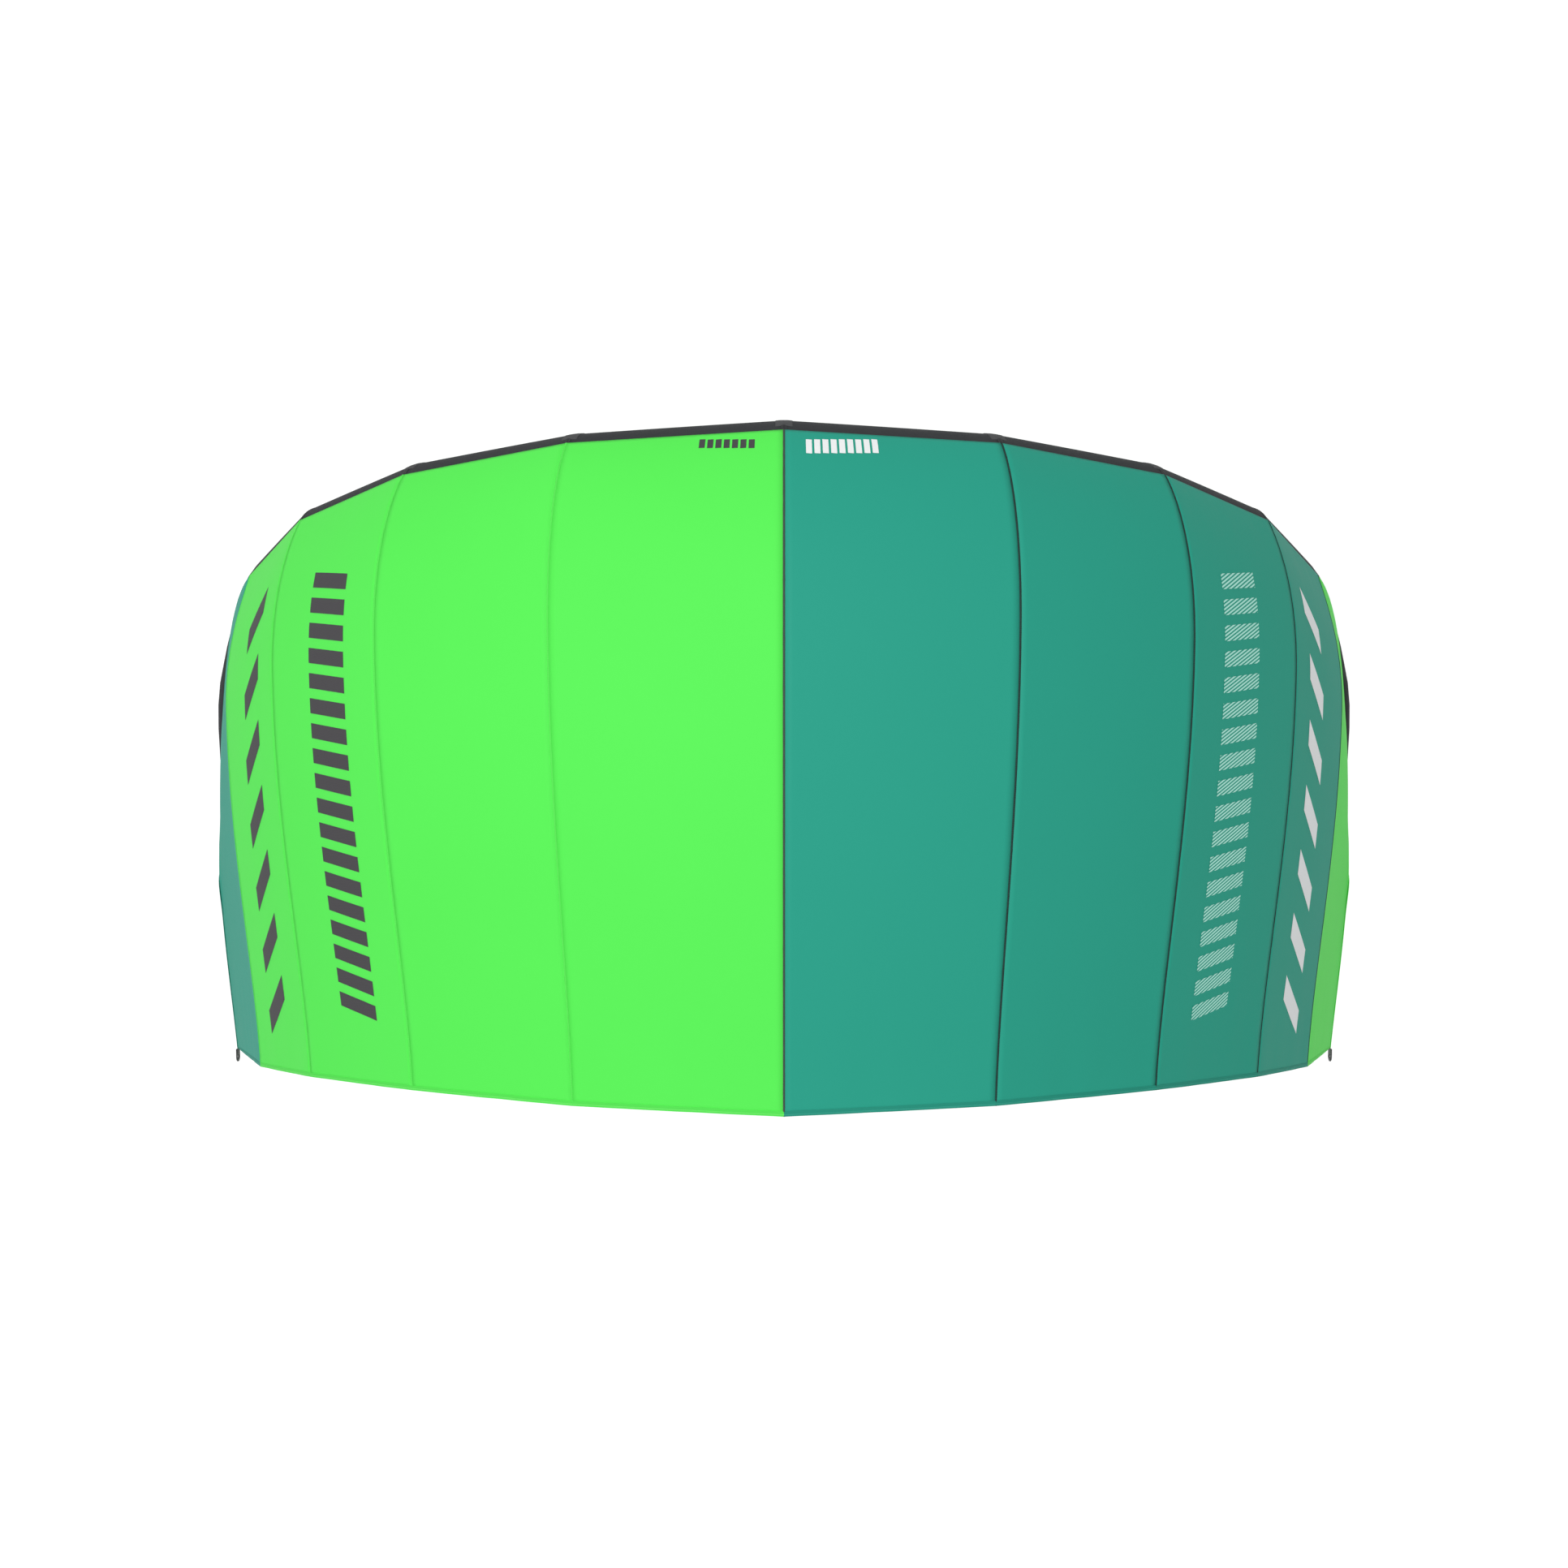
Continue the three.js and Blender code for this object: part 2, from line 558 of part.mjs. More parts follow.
for (let i = 0; i < 6; i++) {
  const first = i < 4 ? i : 4 + 2 * (i - 4);
  const last = i < 4 ? i + 1 : first + 2;
  const shell = tubeShell(first, last, i === 5);
  const hole = STRUTS.findIndex((strut) => strut.tube === i);
  const right = hole < 0 ? shell : cut(shell, hoseHoles[hole]);
  const name = `leading_edge_tube_${i + 1}`;
  add(`${name}_right`, right, TUBE_CLOTH);
  // The centre strut's hose comes out of the right-hand tube, and the valve out of the left-hand one.
  const left = i === 0 ? cut(shell, valveCutter(VALVE_HOLE_RADIUS, 50, 130)) : right;
  add(`${name}_left`, mirrored(left), TUBE_CLOTH);
}

addStrut(STRUTS[0], (name, geometry, surface) => add(`${name}_centre`, geometry, surface));
addStrut(STRUTS[1], (name, geometry, surface) => addPair(name, geometry, surface));

// ------------------------------------------------------------------------------------ leading edge bladder
function bladder() {
  const depth = CLOTH + LAYER_GAP;
  const wholeRun = (inset, short) => {
    const right = tubeRings(0, 8, inset, 0, short);
    const left = right.slice(1).reverse().map((ring) => ring.map((p) => new THREE.Vector3(-p.x, p.y, p.z)));
    return loft([...left, ...right], true);
  };
  const outer = wholeRun(depth, 2 * CLOTH + 1);
  const inner = wholeRun(depth + FILM, 2 * CLOTH + 1 + FILM);
  const valvePort = mirrored(valveCutter(VALVE_HOLE_RADIUS, 50, 130));
  const ports = [valvePort, hoseHoles[0], hoseHoles[1], mirrored(hoseHoles[1])];
  return cut(outer, inner, ...ports);
}
add("leading_edge_bladder", bladder(), BLADDER_FILM);

// --------------------------------------------------------------------------------------------------- valve
// The valve points straight back out of the left-hand tube. It is made on the right, and mirrored.
// Its outlines are turned about its axis: each point is a radius, and a distance out from the tube's surface.
function turned(outline) {
  const points = outline.map(([radius, distance]) => new THREE.Vector2(radius, distance));
  points.push(points[0].clone());
  const geometry = new THREE.LatheGeometry(points, 32);
  geometry.rotateX(Math.PI);
  const mouth = behind(valveTubeRadius);
  geometry.translate(mouth.x, mouth.y, mouth.z);
  return closedFrom(geometry);
}

function closedFrom(geometry) {
  const merged = mergeVertices(geometry.deleteAttribute("normal").deleteAttribute("uv"), 1e-3);
  const place = merged.attributes.position;
  const points = [];
  for (let i = 0; i < place.count; i++) points.push(new THREE.Vector3().fromBufferAttribute(place, i));
  return closedBody(points, Array.from(merged.index.array));
}

const BASE_TOP = 5;
const COLLAR_TOP = 14;
const flange = turned([[VALVE_BORE_RADIUS, -9], [34, -9], [34, 3], [31, BASE_TOP], [VALVE_BORE_RADIUS, BASE_TOP]]);
const neck = turned([
  [VALVE_BORE_RADIUS, -18],
  [VALVE_HOLE_RADIUS - 1.2, -18],
  [VALVE_HOLE_RADIUS - 1.2, COLLAR_TOP],
  [VALVE_BORE_RADIUS, COLLAR_TOP],
]);
add("valve_base", mirrored(join(cut(flange, edgeSolid(0.4)), neck)), GREY_PLASTIC);

// The locking collar turns on the neck. Three grips stand out from it, and two ears hold the cap.
const collarInside = VALVE_HOLE_RADIUS - 0.8;
const collarFoot = [[collarInside, BASE_TOP + 0.4], [26, BASE_TOP + 0.4]];
const collarRing = turned([...collarFoot, [26, 12.5], [25, COLLAR_TOP], [collarInside, COLLAR_TOP]]);
const valveMouth = behind(valveTubeRadius);
const fromValve = (x, y, z) => valveMouth.clone().add(new THREE.Vector3(x, -y, z));
const collarGrips = [90, 210, 330].map((degrees) => {
  const reach = 27;
  const at = fromValve(Math.sin(radians(degrees)) * reach, 9.4, Math.cos(radians(degrees)) * reach);
  return rod(at, Y_AXIS, 3.5, 7, 12);
});
const block = (width, depth, height, at) => new THREE.BoxGeometry(width, depth, height).translate(at.x, at.y, at.z);
const CAP_HINGE_OUT = COLLAR_TOP + 2.2; // from the tube's surface
const collarEars = [-6, 6].map((side) => block(3, 11, 7, fromValve(side, COLLAR_TOP - 1.2, CAP_HINGE_REACH - 1.3)));
add("valve_collar", mirrored(join(collarRing, ...collarGrips, ...collarEars)), BLACK_PLASTIC);

// The cap swings up about a barrel between the collar's ears. Its plug sits in the neck.
const discFoot = [[0, COLLAR_TOP + 0.5], [24, COLLAR_TOP + 0.5]];
const capDisc = turned([...discFoot, [24, COLLAR_TOP + 3], [22.5, COLLAR_TOP + 4], [0, COLLAR_TOP + 4]]);
const capPlug = turned([[0, COLLAR_TOP - 4], [12.2, COLLAR_TOP - 4], [12.6, COLLAR_TOP + 2], [0, COLLAR_TOP + 2]]);
const capBarrel = rod(fromValve(0, CAP_HINGE_OUT, CAP_HINGE_REACH), X_AXIS, 2, 8.2, 16);
const capTongue = block(8.2, 2.6, 8, fromValve(0, COLLAR_TOP + 2.4, CAP_HINGE_REACH - 5));
const capPull = block(12, 2.4, 8, fromValve(0, COLLAR_TOP + 2.2, -27));
add("valve_cap", mirrored(join(capDisc, capPlug, capBarrel, capTongue, capPull)), BLACK_PLASTIC);

// --------------------------------------------------------------------------------------------- bladder zip
// A zip under the right-hand tube lets the bladder in and out. Its slider runs along it.
const zipFrame = tubeFrame(0);
const ZIP_ANGLE = -100; // round the tube from straight ahead
function zipTape() {
  const sections = [];
  for (const share of [ZIP_FROM, ZIP_TO]) {
    const row = (proud) => [-9, -5, -1, 3, 7].map((turn) => tubePoint(zipFrame, share, ZIP_ANGLE + turn, proud));
    sections.push({ outside: row(2), inside: row(0.8) });
  }
  return sheet(sections);
}
add("bladder_zip", zipTape(), BLACK_PLASTIC);

const zipStart = tubePoint(zipFrame, ZIP_FROM, ZIP_ANGLE - 1, 2.4);
const zipEnd = tubePoint(zipFrame, ZIP_TO, ZIP_ANGLE - 1, 2.4);
const zipAlong = zipEnd.clone().sub(zipStart).normalize();
const zipOut = zipStart.clone().sub(zipFrame.from.axis.clone().lerp(zipFrame.to.axis, ZIP_FROM));
zipOut.addScaledVector(zipAlong, -zipOut.dot(zipAlong)).normalize();
const zipAcross = zipAlong.clone().cross(zipOut);
const sliderOutline = new THREE.Shape();
sliderOutline.moveTo(-ZIP_SLIDER_LENGTH / 2, 0).lineTo(ZIP_SLIDER_LENGTH / 2, 0);
sliderOutline.lineTo(ZIP_SLIDER_LENGTH / 2, 4).lineTo(2, 6).lineTo(-22, 8).lineTo(-22, 5.6);
sliderOutline.lineTo(-ZIP_SLIDER_LENGTH / 2, 4);
sliderOutline.closePath();
const sliderPlace = zipStart.clone().addScaledVector(zipAlong, 22 + 4);
add("zip_slider", plate(sliderOutline, 8, sliderPlace, zipAlong, zipOut, zipAcross), GREY_PLASTIC);

// ---------------------------------------------------------------------------------------- kink reinforcing
// A band of heavier cloth round the front of the tube at a kink, from under it up to the skin's edge.
function kinkPatch(i) {
  const degrees = [];
  for (let k = 0; k <= 9; k++) degrees.push(lerp(-80, SKIN_STARTS[i] - 4, k / 9));
  const before = i === 0 ? null : tubeFrame(i - 1);
  const after = tubeFrame(i);
  const lay = (frame, short) => {
    const row = (proud) => degrees.map((angle) => mitrePoint(frame, RIBS[i], angle, proud, short));
    return { outside: row(PATCH_GAP + PATCH_THICKNESS), inside: row(PATCH_GAP) };
  };
  const reflect = ({ outside, inside }) => {
    const flip = (row) => row.map((p) => new THREE.Vector3(-p.x, p.y, p.z));
    return { outside: flip(outside), inside: flip(inside) };
  };
  const half = PATCH_WIDTH / 2;
  const near = before ? lay(before, half) : reflect(lay(after, half));
  return sheet([near, lay(after, 0), lay(after, half)]);
}
add("kink_patch_centre", kinkPatch(0), PATCH_CLOTH);
addPair("kink_patch_inner", kinkPatch(1), PATCH_CLOTH);
addPair("kink_patch_outer", kinkPatch(2), PATCH_CLOTH);

// ----------------------------------------------------------------------------------------------- line tabs
// A webbing tab with an eye. Its root is straight and its far end is round about the eye.
function tabOutline() {
  const half = TAB_WIDTH / 2;
  const outline = new THREE.Shape();
  outline.moveTo(-half, 0).lineTo(half, 0).lineTo(half, TAB_REACH - half);
  outline.absarc(0, TAB_REACH - half, half, 0, Math.PI).closePath();
  outline.holes.push(new THREE.Path().absarc(0, TAB_REACH - half, TAB_EYE_RADIUS, 0, 2 * Math.PI));
  return outline;
}

// Bridle tabs hang from the underside of the tube beside its kinks, each flat on to the leading edge.
for (const [i, name] of [[2, "inner"], [3, "middle"], [4, "outer"]]) {
  const frame = tubeFrame(i);
  const across = Y_AXIS.clone().cross(frame.out).normalize();
  const down = frame.out.clone().negate();
  const radius = lerp(frame.from.radius, frame.to.radius, 0.1);
  const root = frame.from.axis.clone().lerp(frame.to.axis, 0.12).addScaledVector(down, radius - 3);
  const tab = cut(plate(tabOutline(), TAB_THICKNESS, root, across, down, Y_AXIS), edgeSolid(0.5));
  addPair(`bridle_tab_${name}`, tab, WEBBING);
}

// The rear line's tab stands upright behind the tail corner, on the ground beside the hem.
const corner = RIBS[8].tail;
const rearRoot = new THREE.Vector3(corner.x - 1, corner.y - 1, FLOOR + TAB_WIDTH / 2 + 1);
const upwards = new THREE.Vector3(0, 0, 1);
const rearTab = plate(tabOutline(), TAB_THICKNESS, rearRoot, upwards, Y_AXIS.clone().negate(), X_AXIS);
addPair("rear_line_tab", rearTab, WEBBING);

const wingBox = new THREE.Box3().setFromObject(wing);
wing.position.set(0, -(wingBox.min.y + wingBox.max.y) / 2, -wingBox.min.z);

export default wing;
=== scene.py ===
"""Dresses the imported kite: fine cloth, seams, tubes, struts and graphics stand in for its plain CAD solids.

Metres, in the part's frame: +Z up, +Y towards the leading edge, +X towards the teal half. One half of the
wing is worked out on the +X side, and side -1 mirrors a piece of it.
"""

import math

import bmesh
import bpy
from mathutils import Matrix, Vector, noise


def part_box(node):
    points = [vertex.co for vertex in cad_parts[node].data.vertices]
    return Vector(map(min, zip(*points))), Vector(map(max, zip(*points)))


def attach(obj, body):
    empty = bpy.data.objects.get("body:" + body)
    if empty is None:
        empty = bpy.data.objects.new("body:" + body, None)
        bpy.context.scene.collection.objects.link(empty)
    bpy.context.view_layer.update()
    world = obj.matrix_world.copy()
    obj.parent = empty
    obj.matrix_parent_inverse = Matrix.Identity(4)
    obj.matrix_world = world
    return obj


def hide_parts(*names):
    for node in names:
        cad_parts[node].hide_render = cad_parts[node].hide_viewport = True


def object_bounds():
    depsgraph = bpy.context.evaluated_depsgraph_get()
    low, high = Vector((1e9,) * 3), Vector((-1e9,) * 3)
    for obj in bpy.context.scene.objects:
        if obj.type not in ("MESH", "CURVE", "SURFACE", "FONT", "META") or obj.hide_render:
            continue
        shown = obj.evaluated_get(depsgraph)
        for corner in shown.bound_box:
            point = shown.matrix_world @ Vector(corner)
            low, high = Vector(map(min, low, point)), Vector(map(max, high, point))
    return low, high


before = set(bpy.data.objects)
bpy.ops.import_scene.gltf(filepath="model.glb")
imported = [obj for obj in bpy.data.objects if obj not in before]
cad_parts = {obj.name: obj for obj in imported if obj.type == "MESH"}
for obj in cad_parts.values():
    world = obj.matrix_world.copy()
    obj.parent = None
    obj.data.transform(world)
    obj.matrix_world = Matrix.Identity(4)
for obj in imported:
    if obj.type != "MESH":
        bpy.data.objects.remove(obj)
cad_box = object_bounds()

# -------- driving dimensions
PANEL_SPANS = (0.579, 0.538, 0.512, 0.476)
PANEL_SLOPES = (9.2, 27, 42.9, 56.7)  # degrees below the horizontal
RIB_SWEEPS = (0, 0.025, 0.087, 0.190, 0.337)
RIB_CHORDS = (1.800, 1.769, 1.723, 1.663, 1.576)
RIB_TUBE_RADII = (0.096, 0.093, 0.088, 0.080, 0.070)
RIB_CAMBERS = (0.072, 0.072, 0.069, 0.059, 0.054)
TIP_LEAD = 0.380
TIP_NOSE = Vector((0.254, -0.995, -0.469))  # from rib 4's nose to the tip edge's
TIP_TAIL = Vector((0.217, -0.047, -0.495))  # from rib 4's tail to the tail corner
TIP_STEPS = 16
TIP_TUBE_RADIUS = 0.045
TIP_CAMBER = 0.012
SKIN_STARTS = (48, 48, 54, 62, 72)  # degrees above straight ahead, where the skin leaves the tube
SKIN_START_TIP = 65
SKIN_ROLL = 60  # how much further round it is sewn on the way down the tip
CREST_SHARE = 0.27
SKIN_STANDOFF = 0.004  # from the tube's CAD surface to the skin's outside
TIP_EASE = 0.004  # more than that on the tip, where the tube curves away under the skin

CLOTH = 0.0008
TUBE_PROUD = 0.0016  # how far the fine tubes stand outside their CAD solids, still under the skin
BLADDER_INSET = 0.0046  # from the tubes' CAD surface in to the bladder
BILLOW = 0.006  # how far a panel bulges between its seams
TIP_BILLOW = 0.002
PUCKER = 0.0011  # small folds behind the front edge
FLUTTER = 0.0022  # waves along the tail
GATHER = 0.0005  # small folds beside a seam
HEM_WIDTH = 0.014
SEAM_WIDTH = 0.006
WELT_BITE = 0.001  # how far the strip along the front edge reaches into the tube

STRUT_FRONT = 0.120
STRUT_END_SHARE = 0.93
STRUT_FRONT_RADIUS = 0.050
STRUT_END_RADIUS = 0.024
STRUT_DROP = 0.005  # from the skin's outside down to the top of a strut's CAD solid
STRUT_PROUD = 0.001  # how far a fine strut stands outside that solid
HOSE_RADIUS = 0.009
HOSE_RUN = 0.150
HOSE_REACH = 0.330

panel_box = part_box("canopy_panel_1_right")
CENTRE_NOSE = Vector((0, panel_box[1][1], panel_box[1][2] - RIB_CAMBERS[0] * RIB_CHORDS[0]))
X_AXIS = Vector((1, 0, 0))
Y_AXIS = Vector((0, 1, 0))


def mix(a, b, t):
    return a + (b - a) * t


def smooth(t):
    t = max(0.0, min(1.0, t))
    return t * t * (3 - 2 * t)


def bezier(points, t):
    a, b, c, d = points
    return a * (1 - t) ** 3 + b * (3 * t * (1 - t) ** 2) + c * (3 * t * t * (1 - t)) + d * t**3


# -------- wing geometry
class Rib:
    """One section of the wing: its nose and tail, the way up from its chord, and its place on the tube."""

    def __init__(self, nose, tail, along, radius, camber, start, ease):
        self.nose = nose
        self.tail = tail
        self.along = along
        self.radius = radius
        self.start = math.radians(start)
        self.chord = (tail - nose).length
        self.crest = camber * self.chord
        self.back = (tail - nose).normalized()
        self.ahead = (Y_AXIS - along * along.y).normalized()
        self.out = along.cross(self.ahead).normalized()
        self.up = (self.out - self.back * self.out.dot(self.back)).normalized()
        reach = radius + SKIN_STANDOFF + ease
        inwards = self.ahead * (math.cos(self.start) * reach)
        self.axis = nose - inwards - self.out * (math.sin(self.start) * reach)

    def section(self, u):
        """(distance behind the nose, height above the chord) of the skin's outside, for u from 0 to 1."""
        crest = Vector((CREST_SHARE * self.chord, self.crest))
        if u < 0.4:
            leave = Vector((math.sin(self.start), max(0, math.cos(self.start)))) * (0.06 * self.chord)
            before = Vector((0.52 * crest.x, crest.y))
            return bezier((Vector((0, 0)), leave, before, crest), u / 0.4)
        after = Vector((0.55 * self.chord, crest.y))
        flat = Vector((0.8 * self.chord, 0.14 * crest.y))
        return bezier((crest, after, flat, Vector((self.chord, 0))), (u - 0.4) / 0.6)

    def skin(self, u):
        """The skin's outside at u, and the way out from it."""
        here = self.section(u)
        run = (self.section(min(u + 0.01, 1)) - self.section(max(u - 0.01, 0))).normalized()
        point = self.nose + self.back * here.x + self.up * here.y
        return point, self.up * run.x - self.back * run.y


def wing_ribs():
    noses = [CENTRE_NOSE]
    for i in range(4):
        slope = math.radians(PANEL_SLOPES[i])
        last = noses[-1]
        step_out = PANEL_SPANS[i] * math.cos(slope)
        step_down = PANEL_SPANS[i] * math.sin(slope)
        swept = CENTRE_NOSE.y - RIB_SWEEPS[i + 1]
        noses.append(Vector((last.x + step_out, swept, last.z - step_down)))
    start = noses[4]
    lead = start + (noses[4] - noses[3]).normalized() * TIP_LEAD
    end = start + TIP_NOSE
    for k in range(1, TIP_STEPS + 1):
        t = k / TIP_STEPS
        noses.append(start * (1 - t) ** 2 + lead * (2 * t * (1 - t)) + end * t * t)
    runs = [(b - a).normalized() for a, b in zip(noses, noses[1:])]
    last_tail = start - Y_AXIS * RIB_CHORDS[4]
    ribs = []
    for i, nose in enumerate(noses):
        share = max(0, i - 4) / TIP_STEPS
        along = X_AXIS if i == 0 else (runs[i - 1] + runs[min(i, len(runs) - 1)]).normalized()
        if i <= 4:
            tail = nose - Y_AXIS * RIB_CHORDS[i]
            radius = RIB_TUBE_RADII[i]
            camber = RIB_CAMBERS[i]
            leave = SKIN_STARTS[i]
        else:
            tail = last_tail + TIP_TAIL * share
            radius = mix(RIB_TUBE_RADII[4], TIP_TUBE_RADIUS, share)
            camber = mix(RIB_CAMBERS[4], TIP_CAMBER, math.sqrt(share))
            roll = SKIN_ROLL * math.sin(math.pi * share**1.5) ** 2
            leave = mix(SKIN_STARTS[4], SKIN_START_TIP, share) + roll
        ease = TIP_EASE * min(1, 4 * share)
        ribs.append(Rib(nose, tail, along, radius, camber, leave, ease))
    return ribs


RIBS = wing_ribs()
LAST = len(RIBS) - 1
PANELS = [RIBS[i : i + 2] for i in range(4)] + [RIBS[4:]]


def share_behind(rib, distance):
    """The u at which a rib's skin is that far behind its nose."""
    low, high = 0.0, 1.0
    for _ in range(24):
        middle = (low + high) / 2
        if rib.section(middle).x < distance:
            low = middle
        else:
            high = middle
    return low


def panel_point(panel, u, s, height=0.0):
    """A point of a panel's outside: u from nose to tail, s from its inner seam to its outer one."""
    ribs = PANELS[panel]
    place = min(max(s, 0.0), 1.0) * (len(ribs) - 1)
    i = min(int(place), len(ribs) - 2)
    inner, inner_out = ribs[i].skin(u)
    outer, outer_out = ribs[i + 1].skin(u)
    out = inner_out.lerp(outer_out, place - i).normalized()
    width = (ribs[-1].nose - ribs[0].nose).length
    fade = smooth(u / 0.3) * mix(1, 0.35, smooth((u - 0.8) / 0.2))
    bulge = (TIP_BILLOW if panel == 4 else BILLOW) * math.sin(math.pi * s) * fade
    puckers = noise.noise(Vector((s * width * 34 + panel * 7, u * 5, 1))) * PUCKER * math.exp(-u / 0.16)
    waves = noise.noise(Vector((s * width * 11 + panel * 5, u * 2, 4)))
    flutter = waves * FLUTTER * smooth((u - 0.75) / 0.25)
    edge = min(s, 1 - s) * width
    phase = u * 150 + 6 * noise.noise(Vector((u * 9, panel, 2)))
    gather = math.sin(phase) * GATHER * math.exp(-edge / 0.03)
    relief = (puckers + flutter + gather) * min(1, edge / 0.01) * smooth(u / 0.03)
    return inner.lerp(outer, place - i) + out * (bulge + relief + height)


def tube_frame(start, end):
    """A straight tube's directions between two ribs: along it, ahead across it, and out of the wing."""
    along = (end.axis - start.axis).normalized()
    ahead = (Y_AXIS - along * along.y).normalized()
    out = along.cross(ahead).normalized()
    return along, ahead, out


def tube_point(axis, ahead, out, radius, degrees):
    """A point at a radius from a tube's axis, some degrees round it from straight ahead."""
    angle = math.radians(degrees)
    return axis + ahead * (math.cos(angle) * radius) + out * (math.sin(angle) * radius)


# -------- materials
def principled(name, color, roughness, **sockets):
    surface = bpy.data.materials.new(name)
    surface.use_nodes = True
    shader = surface.node_tree.nodes["Principled BSDF"]
    shader.inputs["Base Color"].default_value = (*color, 1)
    shader.inputs["Roughness"].default_value = roughness
    for socket, value in sockets.items():
        shader.inputs[socket.replace("_", " ")].default_value = value
    return surface


class Nodes:
    """Short ways to add shader nodes to one material."""

    def __init__(self, surface):
        self.tree = surface.node_tree
        self.shader = self.tree.nodes["Principled BSDF"]

    def add(self, kind, links=(), **settings):
        node = self.tree.nodes.new(kind)
        for name, value in settings.items():
            setattr(node, name, value)
        for socket, value in dict(links).items():
            self.put(value, node.inputs[socket])
        return node

    def put(self, value, socket):
        if isinstance(value, bpy.types.NodeSocket):
            self.tree.links.new(value, socket)
        else:
            socket.default_value = value

    def math(self, operation, a, b=0.0):
        return self.add("ShaderNodeMath", {0: a, 1: b}, operation=operation).outputs[0]

    def tint(self, share, a, b):
        node = self.add("ShaderNodeMix", data_type="RGBA")
        self.put(share, node.inputs["Factor"])
        self.put(a, node.inputs["A"])
        self.put(b, node.inputs["B"])
        return node.outputs["Result"]

    def bump(self, height, strength, distance, under=None):
        links = {"Height": height, "Strength": strength, "Distance": distance}
        node = self.add("ShaderNodeBump", links)
        if under is not None:
            self.put(under, node.inputs["Normal"])
        self.put(node.outputs[0], self.shader.inputs["Normal"])
        return node.outputs[0]


def lines(n, coordinate, pitch, share):
    """1 on lines across a coordinate, `pitch` apart, and 0 between them."""
    place = n.math("FRACT", n.math("DIVIDE", coordinate, pitch))
    return n.math("LESS_THAN", place, share)


def ripstop_grid(n, across, along):
    """1 on the thicker threads of ripstop, a 5 mm grid, and 0 between them."""
    return n.math("MAXIMUM", lines(n, across, 0.005, 0.14), lines(n, along, 0.005, 0.14))


def flat_place(n):
    """The cloth's own coordinates in metres: across its width, and along its length."""
    parts = n.add("ShaderNodeSeparateXYZ", {0: n.add("ShaderNodeUVMap", uv_map="cloth").outputs[0]})
    return parts.outputs[0], parts.outputs[1]


def noise_of(n, scale, detail=3.0):
    where = n.add("ShaderNodeTexCoord").outputs["Object"]
    return n.add("ShaderNodeTexNoise", {"Vector": where, "Scale": scale, "Detail": detail}).outputs[0]


def ripstop(name, color, shade):
    """Coated ripstop: a grid of thicker threads in a fine weave, with faint creases and colour drift."""
    surface = principled(name, color, 0.55, Specular_IOR_Level=0.06)
    n = Nodes(surface)
    across, along = flat_place(n)
    grid = ripstop_grid(n, across, along)
    drift = noise_of(n, 2.2)
    mixed = n.tint(n.math("MULTIPLY", drift, 0.22), (*color, 1), (*shade, 1))
    n.put(n.tint(n.math("MULTIPLY", grid, 0.06), mixed, (*shade, 1)), n.shader.inputs["Base Color"])
    crease = n.bump(noise_of(n, 14, 4), 0.18, 0.004)
    weave = n.add("ShaderNodeTexNoise", {"Scale": 900.0, "Detail": 2.0}).outputs[0]
    n.bump(n.math("ADD", grid, n.math("MULTIPLY", weave, 0.5)), 0.14, 0.0004, crease)
    return surface


def sailcloth(name, color, light, bump=0.22):
    """Heavy polyester sailcloth: a plain weave of 1 mm threads in relief, with soft clouds of a slightly
    lighter tone.
    """
    surface = principled(name, color, 0.7, Specular_IOR_Level=0.08)
    n = Nodes(surface)
    across, along = flat_place(n)
    warp = n.math("SINE", n.math("MULTIPLY", across, math.tau / 0.0011))
    weft = n.math("SINE", n.math("MULTIPLY", along, math.tau / 0.0011))
    weave = n.math("MULTIPLY", warp, weft)
    cloud = noise_of(n, 9)
    tinted = n.tint(n.math("MULTIPLY", cloud, 0.5), (*color, 1), (*light, 1))
    n.put(tinted, n.shader.inputs["Base Color"])
    crease = n.bump(noise_of(n, 22, 4), 0.25, 0.003)
    n.bump(weave, bump, 0.0004, crease)
    return surface


def stitched(name, color, thread, rows, roughness=0.6):
    """Seam tape or hem: a fine weave with rows of stitches, each row at its distance from the middle."""
    surface = principled(name, color, roughness, Specular_IOR_Level=0.08)
    n = Nodes(surface)
    across, along = flat_place(n)
    dashes = lines(n, along, 0.0042, 0.68)
    total = None
    for row in rows:
        near = n.math("ABSOLUTE", n.math("SUBTRACT", across, row))
        on = n.math("MULTIPLY", n.math("LESS_THAN", near, 0.00045), dashes)
        total = on if total is None else n.math("MAXIMUM", total, on)
    n.put(n.tint(total, (*color, 1), (*thread, 1)), n.shader.inputs["Base Color"])
    weave = n.add("ShaderNodeTexNoise", {"Scale": 700.0, "Detail": 2.0}).outputs[0]
    n.bump(n.math("ADD", n.math("MULTIPLY", weave, 0.3), total), 0.5, 0.0006)
    return surface


def moulded(name, color, roughness):
    """Moulded plastic: fine sparkle texture, with slightly polished high spots."""
    surface = principled(name, color, roughness)
    n = Nodes(surface)
    grain = n.add("ShaderNodeTexNoise", {"Scale": 1400.0, "Detail": 3.0}).outputs[0]
    patchy = noise_of(n, 60)
    limits = {"To Min": roughness - 0.08, "To Max": roughness + 0.1}
    worn = n.add("ShaderNodeMapRange", {"Value": patchy, **limits})
    n.put(worn.outputs[0], n.shader.inputs["Roughness"])
    lighter = tuple(min(1, c * 1.35 + 0.01) for c in color)
    tinted = n.tint(n.math("MULTIPLY", patchy, 0.4), (*color, 1), (*lighter, 1))
    n.put(tinted, n.shader.inputs["Base Color"])
    n.bump(grain, 0.2, 0.0003)
    return surface


